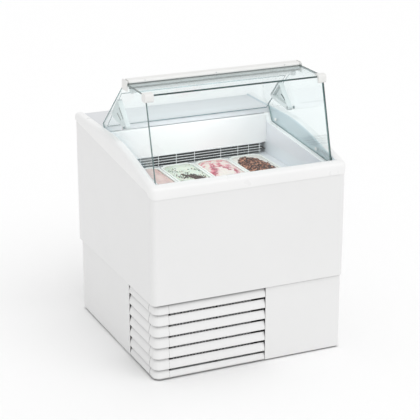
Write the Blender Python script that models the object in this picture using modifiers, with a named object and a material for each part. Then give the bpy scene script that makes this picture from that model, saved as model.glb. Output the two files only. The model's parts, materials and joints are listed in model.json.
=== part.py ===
"""Ice cream dipping cabinet: a free-standing ventilated four-pan display.

Units are metres, +Z is up.  The origin is on the floor, under the middle of
the cabinet.  The customer's side faces -Y, the server's side faces +Y.
"""
import math

import bmesh
import bpy
from mathutils import Matrix, Vector

# ---------------------------------------------------------------- dimensions
WIDTH = 0.880                   # outer sheet-metal body, left to right
DEPTH = 0.885                   # outer sheet-metal body, front to back
BODY_BOTTOM = 0.340             # lower edge of the body, above the plinth
GAP = 0.0003                    # gap between touching pieces
SHEET = 0.002                   # sheet-metal thickness
BODY_CORNERS = (0.022, 0.004)   # plan radius of the body: front, rear

# moulded rim that runs round the left, front and right of the top
RIM_OVERHANG = 0.003            # how far it stands out from the body
RIM_X = WIDTH / 2 + RIM_OVERHANG
RIM_Y = DEPTH / 2 + RIM_OVERHANG
RIM_CORNER = 0.025
SEAM_REAR = 0.900               # height of the rim's lower edge at the back
SEAM_SLOPE = 0.0984
SEAM_BREAK_Y = -0.400           # the edge turns down in front of this line
SEAM_FRONT = 0.794
CROWN_REAR = 0.935              # height of the rim's crest at the back
CROWN_ARC_Y = (-0.220, 0.066)   # the crest curves down between these lines
CROWN_SLOPE = 0.25
COLLAR_BOTTOM = 0.7803          # the rim's inner collar reaches down to here
RIM_STEP = 0.0405               # thickness of the rim over the body's wall

# refrigerated tank
TANK_X = 0.372
TANK_FRONT = -0.370
TANK_REAR = 0.382
TANK_STEP = 0.7217              # ledge that carries the pan rack
WELL_X = 0.350
WELL_FRONT = -0.235
TANK_FLOOR = 0.430
LEDGE_FRONT = 0.828             # ledge that the canopy glass stands on
LEDGE_SLOPE = 0.0776
GLASS_NOTCH_Y = (0.167, 0.191)  # lower rear corner of the side glass
RIM_STATIONS = (RIM_Y, TANK_REAR + 0.0015, TANK_REAR - 0.0005, 0.300, 0.210, 0.191, 0.167, 0.066, 0.010,
                -0.050, -0.110, -0.165, -0.220, -0.300, TANK_FRONT, SEAM_BREAK_Y)
COUNTER_TOP = 0.927
COUNTER_BOTTOM = 0.905
COUNTER_FRONT = 0.2005

# glass canopy
GLASS = 0.006
GLASS_X = 0.399                 # outer face of the side glass
FRONT_FOOT_Y = -0.3915          # lower edge of the front glass, outer face
FRONT_HEAD_Y = -0.2955          # upper edge of the front glass, outer face
TOP_GLASS_Z = 1.1806            # underside of the top glass
SIDE_REAR_TOP_Y = -0.055
SIDE_REAR_FOOT = (0.209, 0.941)
PROFILE_Y = (-0.095, -0.045)    # lamp profile along the rear top edge
PROFILE_Z = (1.170, 1.200)
LAMP = (-0.0760, 1.1542)        # lamp tube's centre line: y, z

# rear flap: a clear pane between two arms that swing on pins
PIVOT = (-0.035, 0.984)         # y, z of the pins
FLAP_FOOT = (0.1960, 0.9290)    # lower edge of the pane, middle of thickness
FLAP_HEAD = (0.016, 1.118)
FLAP_THICK = 0.004
FLAP_X = 0.383

# pans
PAN_PITCH = 0.165
PAN_SIZE = (0.1625, 0.360)
PAN_REAR = 0.168
PAN_TOP = 0.729
PAN_DEPTH = 0.120

# plinth and louvre
PLINTH_X = 0.430
PLINTH_Y = 0.4325
PLINTH_BOTTOM = 0.006
PLINTH_TOP = BODY_BOTTOM - GAP
PANEL = 0.003
LOUVRE_X = 0.074                # right end of the front louvre
LOUVRE_SIDE_Y = -0.151          # rear end of the side louvre
CORNER_FRONT_X = -0.364         # where the corner pieces meet the slats
CORNER_SIDE_Y = -0.370
CORNER_RADIUS = 0.030
SLAT_PITCH = 0.0495
SLAT_COUNT = 7
FOOT_X, FOOT_Y = 0.385, 0.387

# server's side of the plinth: recessed control plate and cable outlet
CONTROL_X, CONTROL_Z = (-0.330, -0.130), (0.215, 0.295)
SWITCHES = {"power_switch": -0.285, "light_switch": -0.255}
KNOB_X = -0.180
ROCKER_TILT = 7.0
GLAND = (0.330, 0.070)

AXES = {"X": Matrix(((0, 0, 1), (1, 0, 0), (0, 1, 0))),
        "Y": Matrix(((1, 0, 0), (0, 0, -1), (0, 1, 0))),
        "Z": Matrix.Identity(3)}

for old in list(bpy.data.objects):
    bpy.data.objects.remove(old, do_unlink=True)
parts = bpy.data.collections.new("ice_cream_dipping_cabinet")
bpy.context.scene.collection.children.link(parts)


# ----------------------------------------------------------------- materials
def material(name, colour, roughness=0.5, metallic=0.0, alpha=1.0):
    """A Principled material for one kind of surface."""
    made = bpy.data.materials.new(name)
    made.use_nodes = True
    shader = made.node_tree.nodes["Principled BSDF"]
    shader.inputs["Base Color"].default_value = (*colour, 1.0)
    shader.inputs["Roughness"].default_value = roughness
    shader.inputs["Metallic"].default_value = metallic
    shader.inputs["Alpha"].default_value = alpha
    made.diffuse_color = (*colour, alpha)
    return made


WHITE_SHEET = material("white_sheet", (0.83, 0.83, 0.82), 0.35)
WHITE_PLASTIC = material("white_plastic", (0.88, 0.88, 0.87), 0.4)
GREY_PLASTIC = material("grey_plastic", (0.66, 0.68, 0.69), 0.45)
BLACK_PLASTIC = material("black_plastic", (0.03, 0.03, 0.03), 0.5)
LINER_WHITE = material("liner_white", (0.78, 0.81, 0.83), 0.4)
FOAM = material("foam", (0.80, 0.72, 0.48), 0.9)
GLASS_CLEAR = material("clear_glass", (0.78, 0.91, 0.90), 0.03, alpha=0.3)
ACRYLIC = material("clear_acrylic", (0.90, 0.94, 0.95), 0.08, alpha=0.3)
WIRE_WHITE = material("coated_wire", (0.86, 0.88, 0.89), 0.4)
ALUMINIUM = material("aluminium", (0.72, 0.73, 0.74), 0.35, 1.0)
STEEL = material("galvanised_steel", (0.60, 0.62, 0.63), 0.4, 1.0)
COPPER = material("copper", (0.72, 0.40, 0.26), 0.35, 1.0)
POT_BLACK = material("compressor_black", (0.02, 0.02, 0.02), 0.4)
PAN_WHITE = material("pan_white", (0.86, 0.87, 0.83), 0.45)
LAMP_GLASS = material("lamp_glass", (0.92, 0.94, 0.94), 0.2)
FLAVOURS = [material("strawberry", (0.80, 0.60, 0.55), 0.7),
            material("mint", (0.72, 0.85, 0.70), 0.7),
            material("raspberry_ripple", (0.85, 0.58, 0.58), 0.7),
            material("chocolate", (0.30, 0.14, 0.09), 0.8)]


# ------------------------------------------------------------- shape helpers
def add_object(name, mesh, surface):
    """Give a mesh an object of its own in the cabinet's collection."""
    mesh.materials.clear()
    mesh.materials.append(surface)
    made = bpy.data.objects.new(name, mesh)
    parts.objects.link(made)
    return made


def from_bmesh(name, shape, surface):
    """Weld, face outwards and store a bmesh."""
    bmesh.ops.remove_doubles(shape, verts=shape.verts, dist=1e-5)
    bmesh.ops.dissolve_degenerate(shape, edges=shape.edges, dist=1e-6)
    bmesh.ops.recalc_face_normals(shape, faces=shape.faces)
    mesh = bpy.data.meshes.new(name)
    shape.to_mesh(mesh)
    shape.free()
    return add_object(name, mesh, surface)


def box(name, low, high, surface):
    """An axis-aligned box between two corners."""
    shape = bmesh.new()
    bmesh.ops.create_cube(shape, size=1.0)
    size = Vector(high) - Vector(low)
    bmesh.ops.scale(shape, vec=size, verts=shape.verts)
    bmesh.ops.translate(shape, vec=Vector(low) + size / 2, verts=shape.verts)
    return from_bmesh(name, shape, surface)


def prism(name, loops, axis, low, high, surface):
    """Extrude flat loops along an axis: (y, z) for X, (x, z) for Y, (x, y) for Z."""
    curve = bpy.data.curves.new(name, "CURVE")
    curve.dimensions = "2D"
    curve.fill_mode = "BOTH"
    curve.extrude = (high - low) / 2
    for loop in loops:
        spline = curve.splines.new("POLY")
        spline.points.add(len(loop) - 1)
        for point, (u, v) in zip(spline.points, loop):
            point.co = (u, v, 0.0, 1.0)
        spline.use_cyclic_u = True
    guide = bpy.data.objects.new(name, curve)
    parts.objects.link(guide)
    shape = bmesh.new()
    shape.from_mesh(flattened(guide))
    bpy.data.objects.remove(guide, do_unlink=True)
    middle = (low + high) / 2
    along = AXES[axis] @ Vector((0, 0, 1))
    offset = along * (middle * (-1 if axis == "Y" else 1))
    for vert in shape.verts:
        vert.co = AXES[axis] @ vert.co + offset
    return from_bmesh(name, shape, surface)


def flattened(source):
    """The evaluated mesh of an object, modifiers and all."""
    bpy.context.view_layer.update()
    depsgraph = bpy.context.evaluated_depsgraph_get()
    return bpy.data.meshes.new_from_object(source.evaluated_get(depsgraph))


def combine(target, tools, operation):
    """Boolean tools into target, and remove the tools."""
    for tool in tools:
        change = target.modifiers.new("combine", "BOOLEAN")
        change.operation = operation
        change.object = tool
        mesh = flattened(target)
        target.modifiers.clear()
        target.data = mesh
        bpy.data.objects.remove(tool, do_unlink=True)
    return target


def cut(target, *tools):
    return combine(target, tools, "DIFFERENCE")


def join(target, *tools):
    return combine(target, tools, "UNION")


def cylinder(name, centre, radius, length, axis, surface, sides=24, tip_radius=None):
    """A closed cylinder or cone frustum centred on a point."""
    shape = bmesh.new()
    bmesh.ops.create_cone(shape, cap_ends=True, segments=sides, radius1=radius,
                          radius2=radius if tip_radius is None else tip_radius, depth=length)
    for vert in shape.verts:
        vert.co = AXES[axis] @ vert.co + Vector(centre)
    made = from_bmesh(name, shape, surface)
    return made


def turned(name, profile, centre, axis, surface, steps=24):
    """Turn a (radius, height) profile, listed from top to bottom, about an axis."""
    shape = bmesh.new()
    verts = [shape.verts.new((radius, 0.0, height)) for radius, height in profile]
    for first, second in zip(verts, verts[1:]):
        shape.edges.new((first, second))
    mesh = bpy.data.meshes.new(name)
    shape.to_mesh(mesh)
    shape.free()
    made = add_object(name, mesh, surface)
    screw = made.modifiers.new("turn", "SCREW")
    screw.steps = steps
    screw.render_steps = steps
    screw.use_merge_vertices = True
    screw.merge_threshold = 0.0001
    turned_mesh = flattened(made)
    bpy.data.objects.remove(made, do_unlink=True)
    shape = bmesh.new()
    shape.from_mesh(turned_mesh)
    for vert in shape.verts:
        vert.co = AXES[axis] @ vert.co + Vector(centre)
    return from_bmesh(name, shape, surface)


def loft(name, rings, surface, closed=False):
    """Skin a list of equal rings; the ends are capped unless the loft is closed."""
    shape = bmesh.new()
    rows = [[shape.verts.new(point) for point in ring] for ring in rings]
    pairs = list(zip(rows, rows[1:]))
    if closed:
        pairs.append((rows[-1], rows[0]))
    for first, second in pairs:
        for k in range(len(first)):
            after = (k + 1) % len(first)
            shape.faces.new((first[k], first[after], second[after], second[k]))
    if not closed:
        shape.faces.new(rows[0])
        shape.faces.new(rows[-1])
    return from_bmesh(name, shape, surface)


def pipe(name, points, radius, surface):
    """A bent tube along a polyline."""
    curve = bpy.data.curves.new(name, "CURVE")
    curve.dimensions = "3D"
    curve.bevel_depth = radius
    curve.bevel_resolution = 2
    curve.render_resolution_u = 0
    curve.use_fill_caps = True
    spline = curve.splines.new("POLY")
    spline.points.add(len(points) - 1)
    for point, place in zip(spline.points, points):
        point.co = (*place, 1.0)
    guide = bpy.data.objects.new(name, curve)
    parts.objects.link(guide)
    shape = bmesh.new()
    shape.from_mesh(flattened(guide))
    bpy.data.objects.remove(guide, do_unlink=True)
    return from_bmesh(name, shape, surface)


def arc(centre, radius, start, end, steps):
    """Points on an arc, angles in degrees."""
    points = []
    for k in range(steps + 1):
        angle = math.radians(start + (end - start) * k / steps)
        points.append((centre[0] + radius * math.cos(angle), centre[1] + radius * math.sin(angle)))
    return points


def rounded_rectangle(low, high, radius, steps=4):
    """A rectangle with round corners, counter-clockwise."""
    corners = ((high[0], high[1], 0), (low[0], high[1], 90), (low[0], low[1], 180), (high[0], low[1], 270))
    points = []
    for x, y, start in corners:
        centre = (x - math.copysign(radius, x - (low[0] + high[0]) / 2),
                  y - math.copysign(radius, y - (low[1] + high[1]) / 2))
        points += arc(centre, radius, start, start + 90, steps)
    return points


def rectangle(low, high):
    return [low, (high[0], low[1]), high, (low[0], high[1])]


# ------------------------------------------------- heights along the top rim
def seam_z(y):
    """Lower edge of the rim."""
    if y >= SEAM_BREAK_Y:
        return SEAM_REAR - SEAM_SLOPE * (RIM_Y - y)
    start = SEAM_REAR - SEAM_SLOPE * (RIM_Y - SEAM_BREAK_Y)
    return start + (SEAM_FRONT - start) * (SEAM_BREAK_Y - y) / (SEAM_BREAK_Y + RIM_Y)


def crown_z(y):
    """Crest of the rim: flat at the back, an arc, then a straight slope."""
    low, high = CROWN_ARC_Y
    if y >= high:
        return CROWN_REAR
    drop = CROWN_SLOPE / (2 * (high - low)) * (high - max(y, low)) ** 2
    if y < low:
        drop += CROWN_SLOPE * (low - y)
    return CROWN_REAR - drop


def ledge_z(y):
    """Ledge that carries the side glass, and behind it the rear counter."""
    start, end = GLASS_NOTCH_Y
    foot = LEDGE_FRONT + LEDGE_SLOPE * (min(max(y, TANK_FRONT), start) - TANK_FRONT)
    if y <= start:
        return foot
    return min(COUNTER_BOTTOM - GAP, foot + (COUNTER_BOTTOM - foot) * (y - start) / (end - start))


def collar_z(y):
    """Lower edge of the inner collar, which stops at the rear of the tank."""
    return COLLAR_BOTTOM if y < TANK_REAR else underside_z(y)


def underside_z(y):
    """Underside of the rim inside its outer wall."""
    return min(seam_z(y), ledge_z(y) - 0.004)


def rim_section():
    """(inset on the sides, inset on the front, height rule, extra drop on the front)."""
    side, front = RIM_X - TANK_X, RIM_Y + TANK_FRONT
    lip = RIM_Y + SEAM_BREAK_Y
    return [(0.0, 0.0, seam_z, 0.0),
            (0.0, 0.0, crown_z, 0.016),
            (0.004, 0.004, crown_z, 0.006),
            (0.013, 0.013, crown_z, 0.001),
            (0.025, 0.025, crown_z, 0.0),
            (0.036, 0.036, lambda y: crown_z(y) - 0.002, 0.004),
            (0.042, 0.049, lambda y: crown_z(y) - 0.008, 0.008),
            (0.043, 0.050, ledge_z, 0.0),
            (side, front, ledge_z, 0.0),
            (side, front, collar_z, 0.0),
            (side - 0.0035, front - 0.0035, collar_z, 0.0),
            (side - 0.0035, front - 0.0035, underside_z, 0.0),
            (RIM_STEP, lip, underside_z, 0.0),
            (RIM_STEP, lip, seam_z, 0.0)]


def rim_ring(side, y=-1.0, turn=0):
    """One cross-section of the rim at a side's y, or turned into the front corner."""
    ring = []
    for k, (across, back, height, drop) in enumerate(rim_section()):
        radius = max(RIM_CORNER - across, 0.0)
        centre = (RIM_X - across - radius, back + radius - RIM_Y)
        angle = math.radians(turn)
        x, place = centre[0] + radius * math.cos(angle), centre[1] - radius * math.sin(angle)
        if turn == 0:
            place = max(y, centre[1])
        lowered = drop if 1 <= k <= 3 else drop * turn / 90
        ring.append((side * x, place, height(place) - lowered))
    return ring


# ---------------------------------------------------------- structure, plinth
def make_chassis():
    """Folded base tray with a corner post at each corner."""
    x, y = PLINTH_X - 0.0255, PLINTH_Y - 0.0255
    floor_z = 0.014
    tray = box("chassis", (-x, -y, floor_z), (x, y, floor_z + 0.022), STEEL)
    cut(tray, box("hollow", (-x + SHEET, -y + SHEET, floor_z + SHEET), (x - SHEET, y - SHEET, 0.1), STEEL))
    for side in (-1, 1):
        for end in (-1, 1):
            hole = cylinder("hole", (side * FOOT_X, end * FOOT_Y, floor_z), 0.0065, 0.02, "Z", STEEL, 12)
            cut(tray, hole)
            post = box("post", *sorted_corners((side * (x - 0.0005), end * (y - 0.0005), floor_z + 0.001),
                                               (side * (x - 0.030), end * (y - 0.030), PLINTH_TOP)), STEEL)
            notch = box("notch", *sorted_corners((side * (x - 0.003), end * (y - 0.003), 0.0),
                                                 (side * (x - 0.050), end * (y - 0.050), 0.5)), STEEL)
            join(tray, cut(post, notch))
    return tray


def sorted_corners(first, second):
    """Lowest and highest corner of the box between two opposite corners."""
    return (tuple(min(a, b) for a, b in zip(first, second)),
            tuple(max(a, b) for a, b in zip(first, second)))


def make_feet():
    """Levelling feet whose threaded stems pass through the tray."""
    profile = [(0.0, 0.034), (0.005, 0.034), (0.005, 0.011), (0.019, 0.009), (0.021, 0.003), (0.021, 0.0), (0.0, 0.0)]
    for side, hand in ((-1, "left"), (1, "right")):
        for end, place in ((-1, "front"), (1, "rear")):
            turned(f"foot_{place}_{hand}", profile, (side * FOOT_X, end * FOOT_Y, 0.0), "Z", BLACK_PLASTIC, 16)


def make_plinth():
    """Plain plinth panels; the rear one has vents and the control cut-out."""
    x, y, low, high = PLINTH_X, PLINTH_Y, PLINTH_BOTTOM, PLINTH_TOP
    box("plinth_left", (-x, LOUVRE_SIDE_Y + 0.0015, low), (-x + PANEL, y, high), WHITE_SHEET)
    box("plinth_right", (x - PANEL, -y + PANEL + GAP, low), (x, y, high), WHITE_SHEET)
    box("plinth_front", (LOUVRE_X + 0.0015, -y, low), (x, -y + PANEL, high), WHITE_SHEET)
    inner = x - PANEL - GAP
    vents = [rectangle((vx, vz), (vx + 0.080, vz + 0.008)) for vx in (0.020, 0.120, 0.220)
             for vz in (0.150, 0.175, 0.200, 0.225, 0.250)]
    holes = [rectangle((CONTROL_X[0] + 0.006, CONTROL_Z[0] + 0.006), (CONTROL_X[1] - 0.006, CONTROL_Z[1] - 0.006)),
             arc((GLAND[0], GLAND[1]), 0.0085, 0, 330, 11)]
    prism("plinth_rear", [rectangle((-inner, low), (inner, high))] + vents + holes,
          "Y", y - PANEL, y, WHITE_SHEET)


def slat_outline(base, reach=0.052, back=0.014):
    """(inset from the outer face, height) of one louvre slat, a leaning curved blade."""
    outer = [(0.001, 0.0), (0.0, 0.004)] + [(back * k * k, reach * k) for k in (0.35, 0.70, 1.0)]
    inner = [(inset + 0.003, height) for inset, height in reversed(outer)]
    top = PLINTH_TOP - GAP
    return [(inset, min(base + height, top)) for inset, height in outer + inner]


def open_slat(base):
    """A front slat: its blade stops short of the slat above, and air passes between."""
    first = base == slat_bases()[0]
    return slat_outline(base, 0.0324 if first else 0.041, 0.0075 if first else 0.009)


def slat_bases():
    return [0.0065] + [0.0474 + SLAT_PITCH * k for k in range(SLAT_COUNT - 1)]


def make_louvres():
    """Front, side and corner louvre mouldings, each joined by ribs behind its slats."""
    front, side = -PLINTH_Y, -PLINTH_X
    rib_gap = 0.0006

    def ribbed(name, slats, ribs):
        for piece in slats[1:]:
            join(slats[0], piece)
        for rib in ribs:
            join(slats[0], rib)
        slats[0].name = name

    low, high = 0.0080, PLINTH_TOP - 0.002
    slats = [prism("slat", [[(front + inset, z) for inset, z in open_slat(base)]], "X",
                   CORNER_FRONT_X + rib_gap, LOUVRE_X, WHITE_PLASTIC) for base in slat_bases()]
    ribs = [box("rib", (x, front + 0.0085, low), (x + 0.004, front + 0.022, high), WHITE_PLASTIC)
            for x in (CORNER_FRONT_X + 0.006, -0.147, LOUVRE_X - 0.008)]
    ribbed("louvre_front", slats, ribs)

    slats = [prism("slat", [[(side + inset, z) for inset, z in slat_outline(base)]], "Y",
                   CORNER_SIDE_Y + rib_gap, LOUVRE_SIDE_Y, WHITE_PLASTIC) for base in slat_bases()]
    ribs = [box("rib", (side + 0.012, y, low), (side + 0.024, y + 0.004, high), WHITE_PLASTIC)
            for y in (CORNER_SIDE_Y + 0.006, LOUVRE_SIDE_Y - 0.008)]
    ribbed("louvre_side", slats, ribs)

    centre = (side + CORNER_RADIUS, front + CORNER_RADIUS)
    slats = []
    for base in slat_bases():
        outline = slat_outline(base)
        rings = [[(side + inset, CORNER_SIDE_Y, z) for inset, z in outline]]
        for k in range(6):
            angle = math.radians(180 + 90 * k / 5)
            rings.append([(centre[0] + (CORNER_RADIUS - inset) * math.cos(angle),
                           centre[1] + (CORNER_RADIUS - inset) * math.sin(angle), z) for inset, z in outline])
        rings.append([(CORNER_FRONT_X, front + inset, z) for inset, z in outline])
        slats.append(loft("slat", rings, WHITE_PLASTIC))
    ribs = [box("rib", (side + 0.012, CORNER_SIDE_Y - 0.012, low), (side + 0.020, CORNER_SIDE_Y - 0.008, high),
                WHITE_PLASTIC),
            box("rib", (CORNER_FRONT_X - 0.012, front + 0.012, low), (CORNER_FRONT_X - 0.008, front + 0.020, high),
                WHITE_PLASTIC)]
    ribbed("louvre_corner", slats, ribs)


# ------------------------------------------------------------ insulated body
def above_seam(clearance):
    """Everything above the rim's lower edge, less a clearance."""
    ends = [(RIM_Y + 0.01, seam_z(RIM_Y + 0.01)), (SEAM_BREAK_Y, seam_z(SEAM_BREAK_Y)), (-RIM_Y - 0.01, seam_z(-RIM_Y - 0.01))]
    outline = [(y, z - clearance) for y, z in ends] + [(-RIM_Y - 0.01, 1.2), (RIM_Y + 0.01, 1.2)]
    return prism("above", [outline[::-1]], "X", -0.6, 0.6, FOAM)


def above_underside(clearance):
    """Everything above the rim's inner underside, less a clearance."""
    outline = [(y, underside_z(y) - clearance) for y in RIM_STATIONS]
    outline += [(SEAM_BREAK_Y, 1.2), (RIM_Y, 1.2)]
    reach = RIM_X - RIM_STEP + clearance
    return prism("above", [outline], "X", -reach, reach, FOAM)


def column(name, inset, low, high, surface):
    """The body's plan with round corners, as a solid column."""
    x, y = WIDTH / 2 - inset, DEPTH / 2 - inset
    front, rear = (rounded_rectangle((-x, -y), (x, y), radius - inset) for radius in BODY_CORNERS)
    half = len(front) // 2
    return prism(name, [rear[:half] + front[half:]], "Z", low, high, surface)


def make_body():
    """Outer sheet shell, foam insulation and the stepped tank liner."""
    shell = column("body_shell", 0.0, BODY_BOTTOM, 0.95, WHITE_SHEET)
    cut(shell, column("inner", SHEET, BODY_BOTTOM + SHEET, 1.0, WHITE_SHEET),
        box("mouth", (-0.40, -0.40, 0.3), (0.40, 0.40, 0.4), WHITE_SHEET), above_seam(GAP))

    foam = column("insulation", SHEET + GAP, BODY_BOTTOM + SHEET + GAP, 0.95, FOAM)
    wall = SHEET + GAP
    collar = 0.0035 + GAP
    cut(foam,
        box("upper", (-TANK_X - collar, TANK_FRONT - collar, COLLAR_BOTTOM - GAP),
            (TANK_X + collar, TANK_REAR + collar, 1.0), FOAM),
        box("middle", (-TANK_X - wall, TANK_FRONT - wall, TANK_STEP - wall),
            (TANK_X + wall, TANK_REAR + wall, 1.0), FOAM),
        box("lower", (-WELL_X - wall, WELL_FRONT - wall, TANK_FLOOR - wall),
            (WELL_X + wall, TANK_REAR + wall, 1.0), FOAM), above_seam(GAP), above_underside(0.001))

    top = COLLAR_BOTTOM - GAP
    liner = box("tank_liner", (-TANK_X - SHEET, TANK_FRONT - SHEET, TANK_STEP - SHEET),
                (TANK_X + SHEET, TANK_REAR + SHEET, top), LINER_WHITE)
    join(liner, box("well", (-WELL_X - SHEET, WELL_FRONT - SHEET, TANK_FLOOR - SHEET),
                    (WELL_X + SHEET, TANK_REAR + SHEET, TANK_STEP), LINER_WHITE))
    join(liner, box("back", (-TANK_X + 0.0005, TANK_REAR, TANK_STEP), (TANK_X - 0.0005, TANK_REAR + SHEET, 0.9035),
                    LINER_WHITE))
    cut(liner,
        box("upper", (-TANK_X, TANK_FRONT, TANK_STEP), (TANK_X, TANK_REAR, 1.0), LINER_WHITE),
        box("lower", (-WELL_X, WELL_FRONT, TANK_FLOOR), (WELL_X, TANK_REAR, 1.0), LINER_WHITE))


def make_rim():
    """Moulded rim: one swept section round the left side, front and right side."""
    half = [rim_ring(-1, y) for y in RIM_STATIONS] + [rim_ring(-1, turn=turn) for turn in (0, 22.5, 45, 67.5, 90)]
    other = [[(-x, y, z) for x, y, z in ring] for ring in reversed(half)]
    loft("rim_frame", half + other, WHITE_PLASTIC)


def make_counter():
    """Rear work surface with a lip over the evaporator cover and a rear apron."""
    x = 0.3997
    outline = [(COUNTER_FRONT, COUNTER_BOTTOM - 0.002), (COUNTER_FRONT + 0.004, COUNTER_BOTTOM - 0.002),
               (COUNTER_FRONT + 0.004, COUNTER_BOTTOM), (TANK_REAR + 0.004, COUNTER_BOTTOM),
               (TANK_REAR + 0.004, SEAM_REAR + 0.0005), (RIM_Y, SEAM_REAR + 0.0005), (RIM_Y, COUNTER_TOP - 0.003),
               (RIM_Y - 0.003, COUNTER_TOP), (COUNTER_FRONT + 0.004, COUNTER_TOP), (COUNTER_FRONT, COUNTER_TOP - 0.003)]
    counter = prism("rear_counter", [outline], "X", -x, x, GREY_PLASTIC)
    for side in (-1, 1):
        cut(counter, box("corner", *sorted_corners((side * (TANK_X - 0.0005), COUNTER_FRONT - 0.01, 0.89),
                                                   (side * 0.41, 0.46, COUNTER_BOTTOM)), GREY_PLASTIC))


# --------------------------------------------------- cooling inside the tank
def make_evaporator():
    """Cover, wire grid, finned coil, fan plate and the two fans behind the cover."""
    front = 0.178
    outline = [(front, 0.773), (front + 0.024, 0.773), (front + 0.024, 0.7755), (front + 0.0025, 0.7755),
               (front + 0.0025, 0.9000), (front + 0.020, 0.9000), (front + 0.020, 0.9024), (front, 0.9024)]
    prism("evaporator_cover", [outline], "X", -0.3715, 0.3715, WHITE_PLASTIC)

    wire, low, high = 0.0015, 0.640, 0.774
    y = front - GAP - wire
    outer = rectangle((-0.348, low), (0.348, high))
    columns = [-0.348 + 0.696 * k / 9 for k in range(10)]
    rows = [low + (high - low) * k / 6 for k in range(7)]
    cells = [rectangle((a + wire, b + wire), (c - wire, d - wire))
             for a, c in zip(columns, columns[1:]) for b, d in zip(rows, rows[1:])]
    prism("wire_grid", [outer] + cells, "Y", y - wire, y + wire, WIRE_WHITE)

    fins, low_x, high_x, rear = 30, -0.335, 0.3283, 0.345
    comb = comb_outline(low_x, high_x, fins, 0.215, rear - 0.012, rear)
    prism("evaporator_coil", [comb], "Z", TANK_FLOOR + GAP, 0.690, ALUMINIUM)

    plate_z = 0.740
    plate = box("evaporator_fan_plate", (-0.3717, 0.1815, plate_z), (0.3717, 0.3817, plate_z + SHEET), ALUMINIUM)
    for side, hand in ((-1, "left"), (1, "right")):
        centre = (side * 0.180, 0.2815)
        cut(plate, cylinder("hole", (*centre, plate_z), 0.064, 0.02, "Z", ALUMINIUM, 32))
        for leg in (-0.080, 0.074):
            join(plate, box("leg", (centre[0] + leg, centre[1] - 0.008, plate_z + 0.001),
                            (centre[0] + leg + 0.006, centre[1] + 0.008, 0.790), ALUMINIUM))
        join(plate, box("bridge", (centre[0] - 0.080, centre[1] - 0.008, 0.788),
                        (centre[0] + 0.080, centre[1] + 0.008, 0.791), ALUMINIUM),
             cylinder("motor", (*centre, 0.810), 0.032, 0.040, "Z", BLACK_PLASTIC, 20))
        fan(f"evaporator_fan_{hand}", (*centre, 0.765), "Z", 0.016, 0.058, 0.020, 0.0115, BLACK_PLASTIC)


def comb_outline(low, high, fins, tip, root, back):
    """Outline of a finned block seen from above: fins from a solid back."""
    step = (high - low) / fins
    outline = [(low, back)]
    for k in range(fins):
        x = low + step * k
        outline += [(x, tip), (x + 0.3 * step, tip), (x + 0.3 * step, root), (x + step, root)]
    return outline + [(high, tip), (high + 0.3 * step, tip), (high + 0.3 * step, back)]


def fan(name, centre, axis, hub, tip, width, shaft, surface):
    """Axial fan: a hub with flat blades set at an angle, and a shaft to its motor."""
    blades = 5
    rotor = cylinder(name, (0, 0, 0), hub, width, "Z", surface, 16)
    stub = (width + shaft) / 2 * (-1 if axis == "Y" else 1)
    join(rotor, cylinder("shaft", (0, 0, stub), 0.004, shaft + 0.002, "Z", surface, 12))
    for k in range(blades):
        blade = box("blade", (hub * 0.6, -0.016, -0.001), (tip, 0.016, 0.001), surface)
        turn = Matrix.Rotation(2 * math.pi * k / blades, 4, "Z") @ Matrix.Rotation(math.radians(28), 4, "X")
        blade.data.transform(turn)
        join(rotor, blade)
    rotor.data.transform(AXES[axis].to_4x4())
    rotor.location = centre
    return rotor


# -------------------------------------------------- condensing unit, controls
def make_condensing_unit():
    """Compressor, condenser behind the front louvre, its fan, pipework and drip tray."""
    pot = [(0.0, 0.215), (0.030, 0.213), (0.058, 0.200), (0.074, 0.172), (0.076, 0.125), (0.076, 0.090),
           (0.072, 0.060), (0.055, 0.038), (0.0, 0.034)]
    compressor = turned("compressor", pot, (0.215, 0.190, 0.0), "Z", POT_BLACK, 24)
    join(compressor, box("feet", (0.120, 0.110, 0.0165), (0.310, 0.270, 0.020), POT_BLACK),
         box("cradle", (0.170, 0.150, 0.018), (0.260, 0.230, 0.050), POT_BLACK),
         box("terminals", (0.275, 0.165, 0.100), (0.305, 0.215, 0.150), POT_BLACK))

    prism("condenser_coil", [comb_outline(-0.330, 0.0255, 24, -0.385, -0.355, -0.345)], "Z", 0.040, 0.290, ALUMINIUM)

    centre = (-0.150, -0.3125, 0.165)
    shroud = box("condenser_shroud", (-0.330, -0.3440, 0.0163), (0.030, -0.3405, 0.295), STEEL)
    cut(shroud, cylinder("hole", (centre[0], -0.342, centre[2]), 0.107, 0.03, "Y", STEEL, 36))
    for leg in (-0.125, 0.119):
        join(shroud, box("leg", (centre[0] + leg, -0.3420, centre[2] - 0.008),
                         (centre[0] + leg + 0.006, -0.278, centre[2] + 0.008), STEEL))
    join(shroud, box("bridge", (centre[0] - 0.125, -0.281, centre[2] - 0.008),
                     (centre[0] + 0.125, -0.278, centre[2] + 0.008), STEEL),
         cylinder("motor", (centre[0], -0.255, centre[2]), 0.040, 0.050, "Y", BLACK_PLASTIC, 20))
    fan("condenser_fan", centre, "Y", 0.022, 0.100, 0.024, 0.018, BLACK_PLASTIC)

    line = [(0.215, 0.110, 0.120), (0.215, 0.060, 0.120), (0.200, 0.030, 0.115), (0.150, 0.010, 0.100),
            (0.080, -0.060, 0.080), (0.055, -0.200, 0.070), (0.050, -0.330, 0.070), (0.047, -0.362, 0.068),
            (0.032, -0.364, 0.066)]
    pipe("discharge_line", line, 0.004, COPPER)

    tray = box("drip_tray", (0.080, -0.320, 0.0165), (0.360, -0.140, 0.066), BLACK_PLASTIC)
    cut(tray, box("inside", (0.083, -0.317, 0.0195), (0.357, -0.143, 0.1), BLACK_PLASTIC))


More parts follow.
